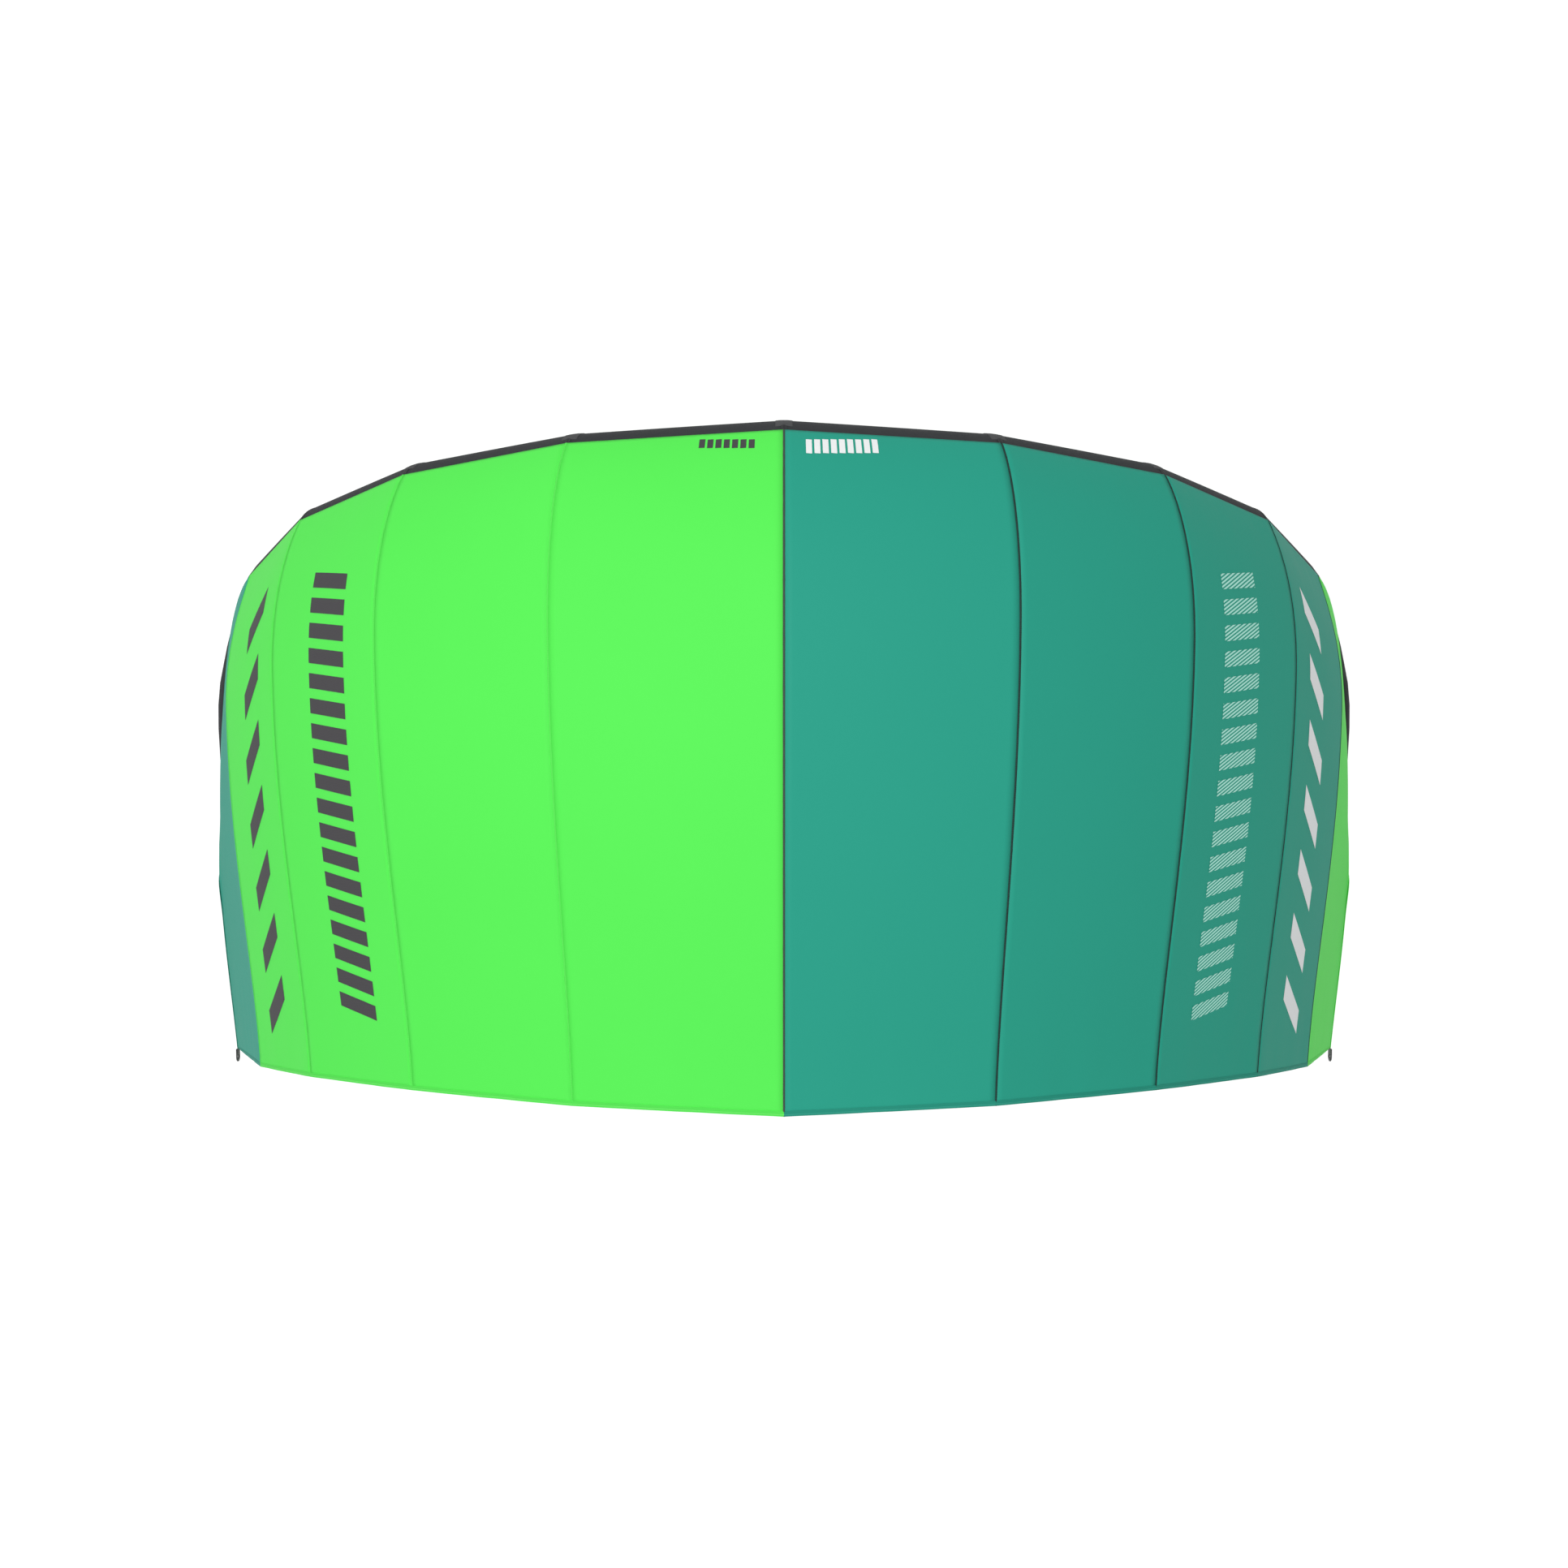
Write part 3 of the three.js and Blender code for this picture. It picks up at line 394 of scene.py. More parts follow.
def webbing(name, color, light):
    """Woven webbing: a herringbone of 2 mm yarns."""
    surface = principled(name, color, 0.75, Sheen_Weight=0.4, Sheen_Roughness=0.4)
    n = Nodes(surface)
    where = n.add("ShaderNodeTexCoord").outputs["Object"]
    parts = n.add("ShaderNodeSeparateXYZ", {0: where})
    x, z = parts.outputs[0], parts.outputs[2]
    folded = n.math("PINGPONG", x, 0.004)
    slant = n.math("SINE", n.math("MULTIPLY", n.math("ADD", folded, z), math.tau / 0.0022))
    tinted = n.tint(n.math("MULTIPLY", slant, 0.5), (*color, 1), (*light, 1))
    n.put(tinted, n.shader.inputs["Base Color"])
    n.bump(slant, 0.6, 0.0006)
    return surface


def hatched(name, cloth_color, ink):
    """Printed hatching: slanting lines of pale ink on the cloth."""
    surface = principled(name, cloth_color, 0.55, Specular_IOR_Level=0.06)
    n = Nodes(surface)
    across, along = flat_place(n)
    slant = n.math("ADD", n.math("MULTIPLY", across, 0.62), along)
    ink_on = lines(n, slant, 0.0105, 0.52)
    n.put(n.tint(ink_on, (*cloth_color, 1), (*ink, 1)), n.shader.inputs["Base Color"])
    grid = ripstop_grid(n, across, along)
    n.bump(grid, 0.14, 0.0004)
    return surface


def printed(name, color):
    """Solid ink on ripstop: the grid still shows through it."""
    surface = principled(name, color, 0.55, Specular_IOR_Level=0.06)
    n = Nodes(surface)
    across, along = flat_place(n)
    grid = ripstop_grid(n, across, along)
    lighter = tuple(min(1, c * 1.12 + 0.01) for c in color)
    tinted = n.tint(n.math("MULTIPLY", grid, 0.3), (*color, 1), (*lighter, 1))
    n.put(tinted, n.shader.inputs["Base Color"])
    n.bump(grid, 0.14, 0.0004)
    return surface


GREEN = (0.115, 0.93, 0.11)
GREEN_SHADE = (0.09, 0.80, 0.085)
TEAL = (0.030, 0.385, 0.275)
TEAL_SHADE = (0.026, 0.34, 0.245)
CHARCOAL = (0.040, 0.043, 0.046)
CHARCOAL_LIGHT = (0.062, 0.065, 0.069)

green_cloth = ripstop("green_ripstop", GREEN, GREEN_SHADE)
teal_cloth = ripstop("teal_ripstop", TEAL, TEAL_SHADE)
tube_cloth = sailcloth("charcoal_sailcloth", CHARCOAL, CHARCOAL_LIGHT)
patch_cloth = sailcloth("grey_reinforcing_cloth", (0.085, 0.087, 0.09), (0.12, 0.122, 0.126), 0.4)
teal_seam = stitched("teal_seam_tape", (0.02, 0.045, 0.04), (0.035, 0.10, 0.08), (-0.0014, 0.0014))
green_seam = stitched("green_seam_tape", (0.10, 0.82, 0.095), (0.16, 0.95, 0.14), (-0.0012, 0.0012))
grey_seam = stitched("grey_seam_tape", (0.05, 0.075, 0.06), (0.12, 0.14, 0.13), (-0.0014, 0.0014))
teal_hem = stitched("teal_hem", (0.024, 0.30, 0.215), (0.05, 0.42, 0.31), (-0.004, 0.004))
green_hem = stitched("green_hem", (0.10, 0.80, 0.095), (0.2, 0.98, 0.18), (-0.004, 0.004))
kink_seam_cloth = stitched(
    "charcoal_seam_tape", (0.034, 0.036, 0.038), (0.11, 0.115, 0.12), (-0.005, 0.005)
)
dark_ink = printed("dark_grey_ink", (0.075, 0.072, 0.078))
white_ink = printed("white_ink", (0.94, 0.97, 0.97))
pale_hatch = hatched("pale_hatching", TEAL, (0.50, 0.90, 0.78))
black_webbing = webbing("black_webbing", (0.018, 0.018, 0.02), (0.05, 0.05, 0.054))
black_plastic = moulded("black_plastic", (0.014, 0.014, 0.015), 0.42)
grey_plastic = moulded("grey_plastic", (0.25, 0.26, 0.27), 0.4)
hose_rubber = moulded("hose_rubber", (0.07, 0.078, 0.085), 0.5)
bladder_film = moulded("bladder_film", (0.62, 0.66, 0.68), 0.25)


# -------- mesh from rows
def make_mesh(name, rows, places, surface, side=1, ring=False, body="wing"):
    """A piece from rows of points, with the cloth's own coordinates for each. A ring's rows are closed."""
    columns = len(rows[0])
    verts = [(side * p.x, p.y, p.z) for row in rows for p in row]
    faces = []
    loops = []
    wraps = columns if ring else columns - 1
    for r in range(len(rows) - 1):
        for c in range(wraps):
            corners = [(r, c), (r + 1, c), (r + 1, c + 1), (r, c + 1)]
            if side < 0:
                corners.reverse()
            faces.append([a * columns + b % columns for a, b in corners])
            loops.extend(corners)
    mesh = bpy.data.meshes.new(name)
    mesh.from_pydata(verts, [], faces)
    layer = mesh.uv_layers.new(name="cloth")
    for loop, (r, c) in enumerate(loops):
        layer.data[loop].uv = places(r, c)
    mesh.materials.append(surface)
    mesh.shade_smooth()
    mesh.set_sharp_from_angle(angle=math.radians(50))
    piece = bpy.data.objects.new(name, mesh)
    bpy.context.scene.collection.objects.link(piece)
    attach(piece, body)
    return piece


def thicken(piece, thickness):
    """Gives a sheet its thickness, inwards from the side its faces look to."""
    layer = piece.modifiers.new("cloth", "SOLIDIFY")
    layer.thickness = thickness
    layer.offset = -1
    return piece


def side_name(side):
    return "right" if side > 0 else "left"


# -------- canopy
CHORD_STEPS = 84
SPAN_STEPS = 26
MAIN_CLOTH = {1: teal_cloth, -1: green_cloth}
TIP_CLOTH = {1: green_cloth, -1: teal_cloth}


def run_length(points):
    return sum((b - a).length for a, b in zip(points, points[1:]))


def row_area(row, below):
    """The area of cloth between two rows of points."""
    return sum((row[c + 1] - row[c]).cross(below[c] - row[c]).length for c in range(len(row) - 1))


def canopy_panel(panel, side):
    spans = [k / SPAN_STEPS for k in range(SPAN_STEPS + 1)]
    shares = [k / CHORD_STEPS for k in range(CHORD_STEPS + 1)]
    rows = [[panel_point(panel, u, s) for s in spans] for u in shares]
    width = max(run_length(row) for row in rows)
    length = max(run_length(column) for column in zip(*rows))
    area = sum(row_area(a, b) for a, b in zip(rows, rows[1:]))
    surface = (TIP_CLOTH if panel == 4 else MAIN_CLOTH)[side]
    name = f"canopy_cloth_{panel + 1}_{side_name(side)}"
    piece = make_mesh(
        name, rows, lambda r, c: (spans[c] * width, shares[r] * length), surface, side
    )
    thicken(piece, CLOTH)
    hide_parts(f"canopy_panel_{panel + 1}_{side_name(side)}")
    return piece, (width, length), area


# -------- seam tapes
# A tape's section, round it: a share of its half-width, and a height above the skin's outside.
TAPE_SECTION = (
    (-1.0, -0.0002),
    (-0.8, 0.0006),
    (0.0, 0.0010),
    (0.8, 0.0006),
    (1.0, -0.0002),
    (0.8, -0.0015),
    (0.0, -0.0019),
    (-0.8, -0.0015),
)
TAPE_STEPS = 120


def seam_tape(rib_number, side, width, surface, name):
    """A tape over the seam at a rib, half of it on each of the panels that meet there."""
    outer = (rib_number, 0.0, 1)
    inner = (rib_number - 1, 1.0, -1)
    rows = []
    shares = [k / TAPE_STEPS for k in range(TAPE_STEPS + 1)]
    for u in shares:
        row = []
        for reach, height in TAPE_SECTION:
            panel, s, way = outer if reach >= 0 or rib_number == 0 else inner
            ribs = PANELS[panel]
            span = sum((b.nose - a.nose).length for a, b in zip(ribs, ribs[1:]))
            step = abs(reach) * width / 2 / span
            point = panel_point(panel, u, s + way * step, height)
            if rib_number == 0 and reach < 0:
                point.x = -point.x
            row.append(point)
        rows.append(row)
    return make_mesh(
        name,
        rows,
        lambda r, c: (TAPE_SECTION[c % len(TAPE_SECTION)][0] * width / 2, shares[r] * RIB_CHORDS[0]),
        surface,
        side,
        ring=True,
    )


def nose_welt(panel, side):
    """The strip that sews a panel's front edge down to the tube under it."""
    ribs = PANELS[panel]
    steps = 2 * SPAN_STEPS
    rows = []
    for k in range(steps + 1):
        place = k / steps * (len(ribs) - 1)
        i = min(int(place), len(ribs) - 2)
        axis = ribs[i].axis.lerp(ribs[i + 1].axis, place - i)
        radius = mix(ribs[i].radius, ribs[i + 1].radius, place - i)
        edge = panel_point(panel, 0, k / steps, -CLOTH / 2)
        foot = axis + (edge - axis).normalized() * (radius - WELT_BITE)
        rows.append([edge.lerp(foot, step / 3) for step in range(4)])
    length = run_length([row[0] for row in rows])
    name = f"nose_welt_{panel + 1}_{side_name(side)}"
    welt = make_mesh(name, rows, lambda r, c: (c * 0.002, r / steps * length), tube_cloth, side)
    return thicken(welt, CLOTH)


def band_along(rows, name, surface, side, length=1.8):
    """A closed hem from its rows, with its stitches laid out along that length."""
    columns = len(rows[0])
    count = len(rows) - 1
    return make_mesh(
        name,
        rows,
        lambda r, c: (mix(-0.007, 0.007, (c % columns) / (columns - 1)), r / count * length),
        surface,
        side,
        ring=True,
    )


def tail_hem(panel, side):
    """The folded hem along a panel's tail: a flat loop of cloth round the skin's edge."""
    front = 1 - HEM_WIDTH / (RIBS[0].chord * 0.94)
    middle = mix(front, 1, 0.5)
    section = (
        (front, 0.0007),
        (middle, 0.0011),
        (1, 0.0008),
        (1, -0.0004),
        (1, -0.0016),
        (middle, -0.0019),
        (front, -0.0015),
    )
    rows = []
    for k in range(SPAN_STEPS + 1):
        s = k / SPAN_STEPS
        rows.append([panel_point(panel, u, s, height) for u, height in section])
    main = teal_hem if side > 0 else green_hem
    tip = green_hem if side > 0 else teal_hem
    surface = tip if panel == 4 else main
    return band_along(rows, f"tail_hem_{panel + 1}_{side_name(side)}", surface, side)


def tip_hem(side):
    """The hem under the tip edge, down to the ground."""
    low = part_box("wingtip_hem_right")[0][2]
    outward = Vector((0.0014, 0, 0))
    steps = 60
    rows = []
    for k in range(steps + 1):
        top = panel_point(4, k / steps, 1.0, 0.0007)
        top.z += 0.003
        foot = Vector((top.x, top.y, low))
        loop = [top + outward * 0.3, top.lerp(foot, 0.5) + outward, foot + outward]
        loop += [foot - outward, top.lerp(foot, 0.5) - outward, top - outward * 0.9]
        rows.append(loop)
    surface = green_hem if side > 0 else teal_hem
    piece = band_along(rows, f"tip_hem_{side_name(side)}", surface, side, 0.63)
    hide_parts(f"wingtip_hem_{side_name(side)}")


# -------- leading edge tubes
TUBE_SIDES = 72


def kink_wrinkle(degrees, distance, seed):
    """How far the cloth folds in or out on the inside of a kink, at a distance from it."""
    facing = max(0.0, math.cos(math.radians(degrees - 262))) ** 1.5
    folds = math.sin(degrees * 0.26 + seed * 2.1 + 30 * distance)
    return 0.0022 * facing * math.exp(-distance / 0.055) * folds


def segment_rows(i, proud=TUBE_PROUD):
    """Rings of the straight tube from kink i to kink i + 1, cut on the mitre planes at both ends."""
    start, end = RIBS[i], RIBS[i + 1]
    length = (end.axis - start.axis).length
    along, ahead, out = tube_frame(start, end)
    steps = 44
    rows = []
    for k in range(steps + 1):
        t = 0.5 - 0.5 * math.cos(math.pi * k / steps)
        axis = start.axis.lerp(end.axis, t)
        near = min(t, 1 - t) * length
        radius = mix(start.radius, end.radius, t) + proud - 0.0012 * math.exp(-near / 0.008)
        radius += 0.0006 * math.sin(math.pi * t)
        ring = []
        for c in range(TUBE_SIDES):
            degrees = 360 * c / TUBE_SIDES
            wrinkle = kink_wrinkle(degrees, near, i + (t > 0.5))
            point = tube_point(axis, ahead, out, radius + wrinkle, degrees)
            slides = []
            for rib in (start, end):
                rim = tube_point(rib.axis, ahead, out, rib.radius + proud, degrees)
                slides.append(-(rim - rib.axis).dot(rib.along) / along.dot(rib.along))
            ring.append(point + along * mix(slides[0], slides[1], t))
        rows.append(ring)
    return rows


def tip_rows(first, last, proud=TUBE_PROUD):
    """Rings of the curved tip tube between two of its steps, closed by a gathered end at the tip edge."""
    rows = []
    for k in range(first, last + 1):
        rib = RIBS[4 + k]
        ring = []
        for c in range(TUBE_SIDES):
            degrees = 360 * c / TUBE_SIDES
            pinch = -0.0010 if k in (first, last) else 0.0004
            inside = max(0, math.cos(math.radians(degrees - 262)))
            fold = 0.0012 * inside * math.sin(k * 2.9 + degrees * 0.05)
            radius = rib.radius + proud + pinch + fold
            ring.append(tube_point(rib.axis, rib.ahead, rib.out, radius, degrees))
        rows.append(ring)
    if last == TIP_STEPS:
        rib = RIBS[LAST]
        for turn in (20, 40, 60, 78, 88):
            angle = math.radians(turn)
            radius = (rib.radius + proud) * math.cos(angle)
            centre = rib.axis + rib.along * (0.009 * math.sin(angle))
            ring = []
            for c in range(TUBE_SIDES):
                degrees = 360 * c / TUBE_SIDES
                gather = 1 + 0.03 * math.sin(angle) * math.sin(math.radians(degrees) * 18)
                ring.append(tube_point(centre, rib.ahead, rib.out, radius * gather, degrees))
            rows.append(ring)
    return rows


def tube_piece(rows, number, side):
    girth = math.tau * 0.08
    name = f"edge_tube_{number}_{side_name(side)}"
    length = (rows[-1][0] - rows[0][0]).length
    count = len(rows) - 1
    piece = make_mesh(
        name, rows, lambda r, c: (c / TUBE_SIDES * girth, r / count * length), tube_cloth, side, ring=True
    )
    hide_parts(f"leading_edge_tube_{number}_{side_name(side)}")


def bladder_piece():
    """The long bladder inside the leading edge, from tip to tip, as smooth as the tubes round it."""
    half = []
    for i in range(4):
        rings = segment_rows(i, -BLADDER_INSET)
        half.extend(rings[1:-1] if i else rings[:-1])
    half.extend(tip_rows(0, TIP_STEPS, -BLADDER_INSET))
    other_half = [[Vector((-p.x, p.y, p.z)) for p in ring] for ring in reversed(half[1:])]
    rows = other_half + half
    count = len(rows) - 1
    piece = make_mesh(
        "edge_bladder", rows, lambda r, c: (c / TUBE_SIDES * 0.5, r / count * 6), bladder_film, ring=True
    )
    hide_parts("leading_edge_bladder")


def wrap_band(kink, side, half_width, first, last, proud, surface, name):
    """A band of cloth round the tube at a kink, from one angle round it to another."""
    before = None if kink == 0 else (RIBS[kink - 1], RIBS[kink])
    after = (RIBS[kink], RIBS[kink + 1])
    whole = last - first >= 360
    count = 72 if whole else 40
    rib = RIBS[kink]
    rows = []
    shoulder = proud * 0.8
    front_half = [(0.4, proud), (0.96, shoulder), (1.0, -0.0006)]
    profile = [(-place, height) for place, height in reversed(front_half)] + front_half
    for place, height in profile:
        mirrored = place < 0 and before is None
        ends = after if place >= 0 or before is None else before
        along, ahead, out = tube_frame(*ends)
        length = (ends[1].axis - ends[0].axis).length
        shift = abs(place) * half_width * (1 if ends is after else -1)
        slope = (ends[1].radius - ends[0].radius) / length
        ring = []
        for c in range(count if whole else count + 1):
            degrees = mix(first, last, c / count)
            rim = tube_point(rib.axis, ahead, out, rib.radius + TUBE_PROUD, degrees)
            slide = -(rim - rib.axis).dot(rib.along) / along.dot(rib.along)
            radius = rib.radius + TUBE_PROUD + slope * shift + height
            point = tube_point(rib.axis, ahead, out, radius, degrees) + along * (slide + shift)
            if mirrored:
                point.x = -point.x
            ring.append(point)
        rows.append(ring)
    if not whole:
        for ring in rows:
            ring[0] = ring[0].lerp(rib.axis, 0.012)
            ring[-1] = ring[-1].lerp(rib.axis, 0.012)
    widths = [place * half_width for place, _ in profile]
    girth = math.tau * rib.radius * (last - first) / 360
    return make_mesh(name, rows, lambda r, c: (widths[r], c / count * girth), surface, side, ring=whole)


# -------- struts
STRUT_SIDES = 48
STRUT_STEPS = 70


def strut_middle(rib, distance):
    """A strut's radius, and how high its middle is above the chord, at a distance behind the nose."""
    share = (distance - STRUT_FRONT) / (STRUT_END_SHARE * rib.chord - STRUT_FRONT)
    radius = mix(STRUT_FRONT_RADIUS, STRUT_END_RADIUS, share)
    return radius, rib.section(share_behind(rib, distance)).y - STRUT_DROP - radius


def strut_point(rib, distance, degrees, inset=0.0):
    radius, height = strut_middle(rib, distance)
    across = rib.back.cross(rib.up).normalized() * -1
    centre = rib.nose + rib.back * distance + rib.up * height
    angle = math.radians(degrees)
    outwards = across * math.cos(angle) + rib.up * math.sin(angle)
    return centre + outwards * (radius + STRUT_PROUD - inset)


def clear_of_edge(point):
    """True if a point lies outside the leading edge tubes."""
    for a, b in zip(RIBS[:5], RIBS[1:5]):
        for way in (1, -1):
            here = Vector((way * point.x, point.y, point.z))
            run = b.axis - a.axis
            t = max(-0.2, min(1.2, (here - a.axis).dot(run) / run.length_squared))
            radius = mix(a.radius, b.radius, t) + TUBE_PROUD
            if (here - a.axis - run * t).length < radius + 0.0008:
                return False
    return True


def strut_rows(rib):
    """Rings of a strut. Each line along it starts where it comes out of the leading edge."""
    starts = []
    for c in range(STRUT_SIDES):
        distance = 0.095
        while distance < 0.26 and not clear_of_edge(strut_point(rib, distance, 360 * c / STRUT_SIDES)):
            distance += 0.002
        starts.append(distance)
    end = STRUT_END_SHARE * rib.chord
    rows = []
    for k in range(STRUT_STEPS + 1):
        t = (k / STRUT_STEPS) ** 1.4
        ring = []
        for c in range(STRUT_SIDES):
            degrees = 360 * c / STRUT_SIDES
            distance = mix(starts[c], end, t)
            fade = math.exp(-(distance - starts[c]) / 0.05)
            pucker = 0.0012 * fade * math.sin(c * 1.9 + rib.chord * 9)
            ring.append(strut_point(rib, distance, degrees, pucker))
        rows.append(ring)
    centre = sum(rows[-1], Vector()) / STRUT_SIDES
    for turn in (25, 50, 70, 87):
        angle = math.radians(turn)
        push = rib.back * (0.014 * math.sin(angle))
        rows.append([centre.lerp(point, math.cos(angle)) + push for point in rows[STRUT_STEPS]])
    return rows


def strut_piece(rib, side, place):
    rows = strut_rows(rib)
    count = len(rows) - 1
    piece = make_mesh(
        f"strut_tube_{place}",
        rows,
        lambda r, c: (c / STRUT_SIDES * 0.25, r / count * rib.chord),
        tube_cloth,
        side,
        ring=True,
    )
    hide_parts(f"strut_casing_{place}")


# -------- hoses
HOSE_SIDES = 24


def hose_route(rib, tube, share):
    """The hose's line: straight back out of the leading edge, then up into the strut."""
    a, b = RIBS[tube], RIBS[tube + 1]
    _, ahead, out = tube_frame(a, b)
    start = tube_point(a.axis.lerp(b.axis, share), ahead, out, mix(a.radius, b.radius, share), 205)
    across = rib.up.cross(Y_AXIS).normalized() * -1
    offset = start - rib.nose
    aside = offset.dot(across)
    leave = offset.dot(rib.back)
    level = offset.dot(rib.up)
    _, height = strut_middle(rib, HOSE_REACH)
    entry = height - STRUT_FRONT_RADIUS + 0.012

    def place(x, y, z):
        return rib.nose + across * x + rib.back * y + rib.up * z

    inside_tube = place(aside, leave - 0.006, level)
    bend = place(aside, leave + HOSE_RUN, level)
    straight = [inside_tube.lerp(bend, k / 12) for k in range(12)]
    corner = (
        bend,
        place(aside, leave + HOSE_RUN + 0.06, level),
        place(0, HOSE_REACH, entry - 0.08),
        place(0, HOSE_REACH, entry),
    )
    return straight + [bezier(corner, k / 26) for k in range(27)]


def tube_along(points, radius, sides):
    """Rings round a line of points, turned as little as possible from one to the next."""
    rows = []
    across = (points[1] - points[0]).normalized().orthogonal().normalized()
    for k, point in enumerate(points):
        run = (points[min(k + 1, len(points) - 1)] - points[max(k - 1, 0)]).normalized()
        across = (across - run * across.dot(run)).normalized()
        other = run.cross(across)
        ring = []
        for c in range(sides):
            angle = math.tau * c / sides
            ring.append(point + (across * math.cos(angle) + other * math.sin(angle)) * radius)
        rows.append(ring)
    return rows


def hose_piece(rib, tube, share, side, place):
    route = hose_route(rib, tube, share)
    rows = tube_along(route, HOSE_RADIUS, HOSE_SIDES)
    count = len(rows) - 1
    piece = make_mesh(
        f"hose_{place}",
        rows,
        lambda r, c: (c / HOSE_SIDES * 0.056, r / count * 0.33),
        hose_rubber,
        side,
        ring=True,
    )
    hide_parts(f"inflation_hose_{place}")


# -------- graphics
def decal(panel, side, corners, surface, name, across, along):
    """A printed four-sided shape on a panel.

    A corner is a share of the panel's span and a distance in metres behind its nose.
    """
    a, b, c, d = (Vector(corner) for corner in corners)
    ribs = PANELS[panel]
    width = (ribs[-1].nose - ribs[0].nose).length
    rows = []
    flat = []
    for j in range(along + 1):
        left = a.lerp(d, j / along)
        right = b.lerp(c, j / along)
        row = [left.lerp(right, i / across) for i in range(across + 1)]
        flat.append([(p.x * width, p.y) for p in row])
        rows.append([panel_point(panel, share_behind(ribs[0], p.y), p.x, 0.0007) for p in row])
    make_mesh(f"{name}_{side_name(side)}", rows, lambda r, q: flat[r][q], surface, side)


# -------- hard parts from CAD
def soften(node, surface, body, radius=0.0006):
    """A copy of a CAD node with its edges rounded, which stands for it."""
    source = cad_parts[node]
    shape = bmesh.new()
    shape.from_mesh(source.data)
    bmesh.ops.remove_doubles(shape, verts=shape.verts, dist=1e-5)
    flat = [e for e in shape.edges if len(e.link_faces) == 2 and e.calc_face_angle() < math.radians(1)]
    bmesh.ops.dissolve_edges(shape, edges=flat, use_verts=True, use_face_split=False)
    mesh = bpy.data.meshes.new(node)
    shape.to_mesh(mesh)
    shape.free()
    mesh.materials.clear()
    mesh.materials.append(surface)
    for face in mesh.polygons:
        face.material_index = 0
    mesh.shade_smooth()
    mesh.set_sharp_from_angle(angle=math.radians(35))
    piece = bpy.data.objects.new(f"{node}_fine", mesh)
    bpy.context.scene.collection.objects.link(piece)
    rounding = piece.modifiers.new("rounding", "BEVEL")
    rounding.width = radius
    rounding.segments = 2
    rounding.limit_method = "ANGLE"
    rounding.angle_limit = math.radians(35)
    rounding.harden_normals = False
    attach(piece, body)
    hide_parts(node)


# -------- putting it up
for side in (1, -1):
    for panel in range(5):
        canopy_panel(panel, side)

for side in (1, -1):
    hems = [tail_hem(panel, side) for panel in range(5)]
    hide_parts(f"trailing_edge_hem_{side_name(side)}")
    tip_hem(side)
    for panel in range(5):
        nose_welt(panel, side)
    tape = teal_seam if side > 0 else green_seam
    for rib_number in (1, 2, 3, 4):
        seam_tape(rib_number, side, SEAM_WIDTH, tape, f"seam_tape_{rib_number}_{side_name(side)}")
seam_tape(0, 1, SEAM_WIDTH, grey_seam, "seam_tape_centre")

# How a band goes round a kink: its half width, the degrees it runs between, and how far it stands proud.
SEAM_BAND = (0.009, 0, 360, 0.0009)
PATCH_BAND = (0.023, -80, 38, 0.0016)
for side in (1, -1):
    for i in range(4):
        tube_piece(segment_rows(i), i + 1, side)
    tube_piece(tip_rows(0, TIP_STEPS // 2), 5, side)
    tube_piece(tip_rows(TIP_STEPS // 2, TIP_STEPS), 6, side)
    for kink in (1, 2, 3):
        wrap_band(kink, side, *SEAM_BAND, kink_seam_cloth, f"kink_seam_{kink}_{side_name(side)}")
    for kink, name in ((1, "inner"), (2, "outer")):
        band = wrap_band(kink, side, *PATCH_BAND, patch_cloth, f"patch_{name}_{side_name(side)}")
        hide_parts(f"kink_patch_{name}_{side_name(side)}")
wrap_band(0, 1, *SEAM_BAND, kink_seam_cloth, "kink_seam_centre")
centre_patch = wrap_band(0, 1, *PATCH_BAND, patch_cloth, "patch_centre")
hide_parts("kink_patch_centre")

bladder_piece()
strut_piece(RIBS[0], 1, "centre")
hose_piece(RIBS[0], 0, 0.12, 1, "centre")
for side in (1, -1):
    strut_piece(RIBS[2], side, side_name(side))
    hose_piece(RIBS[2], 2, 0.14, side, side_name(side))

# Down the fourth panel run slanting marks, and down the third a band of plain bars.
MARKS = 7
MARK_PITCH = 0.198
MARK_LENGTH = 0.078
BARS = 18
BAR_PITCH = 0.0728
BAR_LENGTH = 0.044
BAR_INNER = 0.27
BAR_OUTER = 0.60
BAR_TILT = -0.04  # a bar's outer end stands further forward
# By side: how many small dashes are behind the nose, the shares of the span they run between, their length.
EDGE_DASHES = {1: (9, 0.097, 0.43, 0.038), -1: (7, 0.13, 0.39, 0.024)}


def slab(inner, outer, top, tilt, length):
    """The corners of a decal between two shares of the span, its outer end further back by the tilt."""
    return ((inner, top), (outer, top + tilt), (outer, top + tilt + length), (inner, top + length))


for side in (1, -1):
    ink = white_ink if side > 0 else dark_ink
    for k in range(MARKS):
        inner = 0.24 + 0.016 * k
        outer = 0.505 + 0.029 * k
        shape = slab(inner, outer, 0.160 + MARK_PITCH * k, 0.092 + 0.004 * k, MARK_LENGTH)
        decal(3, side, shape, ink, f"slant_mark_{k + 1}", 8, 8)
    band_ink = pale_hatch if side > 0 else dark_ink
    for k in range(BARS):
        shape = slab(BAR_INNER, BAR_OUTER, 0.245 + BAR_PITCH * k, BAR_TILT, BAR_LENGTH)
        decal(2, side, shape, band_ink, f"bar_{k + 1}", 10, 4)
    dashes, first, last, length = EDGE_DASHES[side]
    pitch = (last - first) / dashes
    for k in range(dashes):
        inner = first + pitch * k
        shape = slab(inner, inner + 0.72 * pitch, 0.0275 - 0.037 * inner, 0, length)
        decal(0, side, shape, ink, f"edge_dash_{k + 1}", 3, 3)

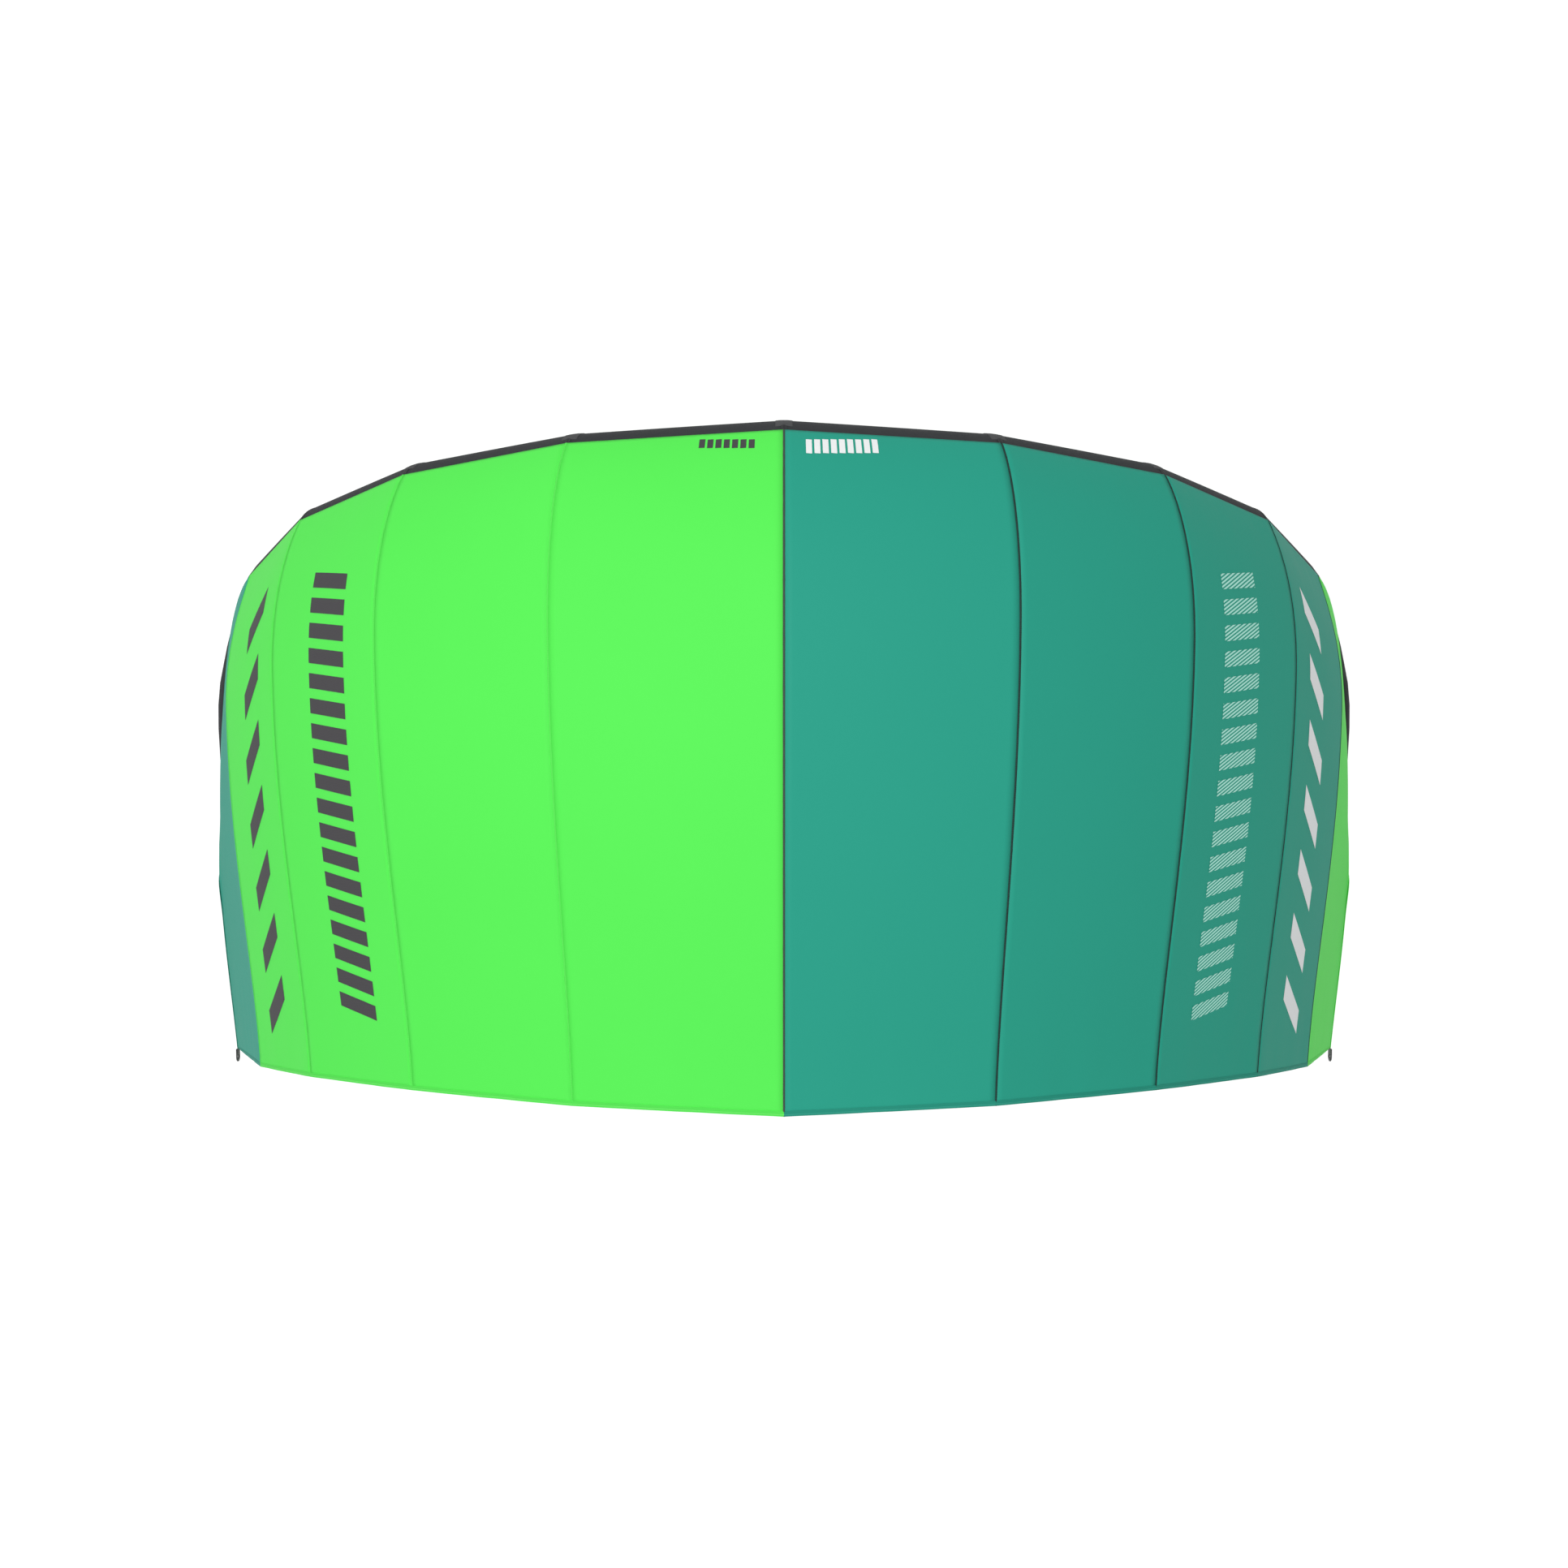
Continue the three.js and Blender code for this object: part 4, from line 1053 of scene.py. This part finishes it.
soften("valve_base", grey_plastic, "wing")
soften("valve_collar", black_plastic, "valve_collar")
soften("valve_cap", black_plastic, "valve_cap")
soften("zip_slider", grey_plastic, "zip_slider", 0.0004)
for place in ("centre", "right", "left"):
    soften(f"hose_clip_{place}", grey_plastic, "wing")
    soften(f"hose_clip_lever_{place}", black_plastic, f"clip_lever_{place}")
for side in (1, -1):
    for place in ("inner", "middle", "outer"):
        soften(f"bridle_tab_{place}_{side_name(side)}", black_webbing, "wing", 0.0009)
    soften(f"rear_line_tab_{side_name(side)}", black_webbing, "wing", 0.0009)

# The pieces that keep their CAD shape get their finish here.
for node, surface in {
    "strut_bladder_centre": bladder_film,
    "strut_bladder_right": bladder_film,
    "strut_bladder_left": bladder_film,
    "bladder_zip": black_plastic,
}.items():
    for material_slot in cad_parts[node].material_slots:
        material_slot.material = surface

# -------- floor, light and camera
FLOOR_REACH = 200  # each way, so that the floor's edge stays near the horizon
floor_mesh = bpy.data.meshes.new("floor")
grid = bmesh.new()
bmesh.ops.create_grid(grid, x_segments=1, y_segments=1, size=FLOOR_REACH)
grid.to_mesh(floor_mesh)
grid.free()
floor = bpy.data.objects.new("floor", floor_mesh)
bpy.context.scene.collection.objects.link(floor)
floor.location.z = cad_box[0][2] - 0.0005
floor_paint = principled(
    "pale_floor",
    (0.2, 0.2, 0.2),
    0.9,
    Specular_IOR_Level=0.0,
    Emission_Color=(1, 1, 1, 1),
    Emission_Strength=0.93,
)
floor_mesh.materials.append(floor_paint)

world = bpy.data.worlds.new("studio")
world.use_nodes = True
world.node_tree.nodes["Background"].inputs[0].default_value = (1, 1, 1, 1)
# The studio is bright along the horizon, where it meets the floor, and dimmer overhead.
sky = world.node_tree
facing = sky.nodes.new("ShaderNodeTexCoord")
height = sky.nodes.new("ShaderNodeSeparateXYZ")
fade = sky.nodes.new("ShaderNodeMapRange")
fade.inputs["From Min"].default_value = 0.0
fade.inputs["From Max"].default_value = 0.30
fade.inputs["To Min"].default_value = 0.95
fade.inputs["To Max"].default_value = 0.13
sky.links.new(facing.outputs["Generated"], height.inputs[0])
sky.links.new(height.outputs[2], fade.inputs["Value"])
sky.links.new(fade.outputs[0], sky.nodes["Background"].inputs["Strength"])
bpy.context.scene.world = world


def soft_box(name, place, target, size, power):
    light = bpy.data.lights.new(name, "AREA")
    light.shape = "SQUARE"
    light.size = size
    light.energy = power
    lamp = bpy.data.objects.new(name, light)
    bpy.context.scene.collection.objects.link(lamp)
    lamp.location = place
    lamp.rotation_euler = (Vector(target) - Vector(place)).to_track_quat("-Z", "Y").to_euler()


soft_box("key", (-2.2, 0.6, 13.0), (0, 0, 0.8), 5.0, 1200)

# The camera looks down from above the wing, leaning a little towards the leading edge.
LEAN = math.radians(4.4)
TARGET_BEHIND_NOSE = 0.916
DISTANCE = 4.945
LENS = 43.45
camera = bpy.data.objects.new("camera", bpy.data.cameras.new("camera"))
camera.data.lens = LENS
camera.data.sensor_width = 36
camera.data.clip_end = 600
target = CENTRE_NOSE - Y_AXIS * TARGET_BEHIND_NOSE
camera.location = target + Vector((0, math.sin(LEAN), math.cos(LEAN))) * DISTANCE
camera.rotation_euler = (-LEAN, 0, 0)
bpy.context.scene.collection.objects.link(camera)
bpy.context.scene.camera = camera
bpy.context.scene.view_settings.view_transform = "Standard"
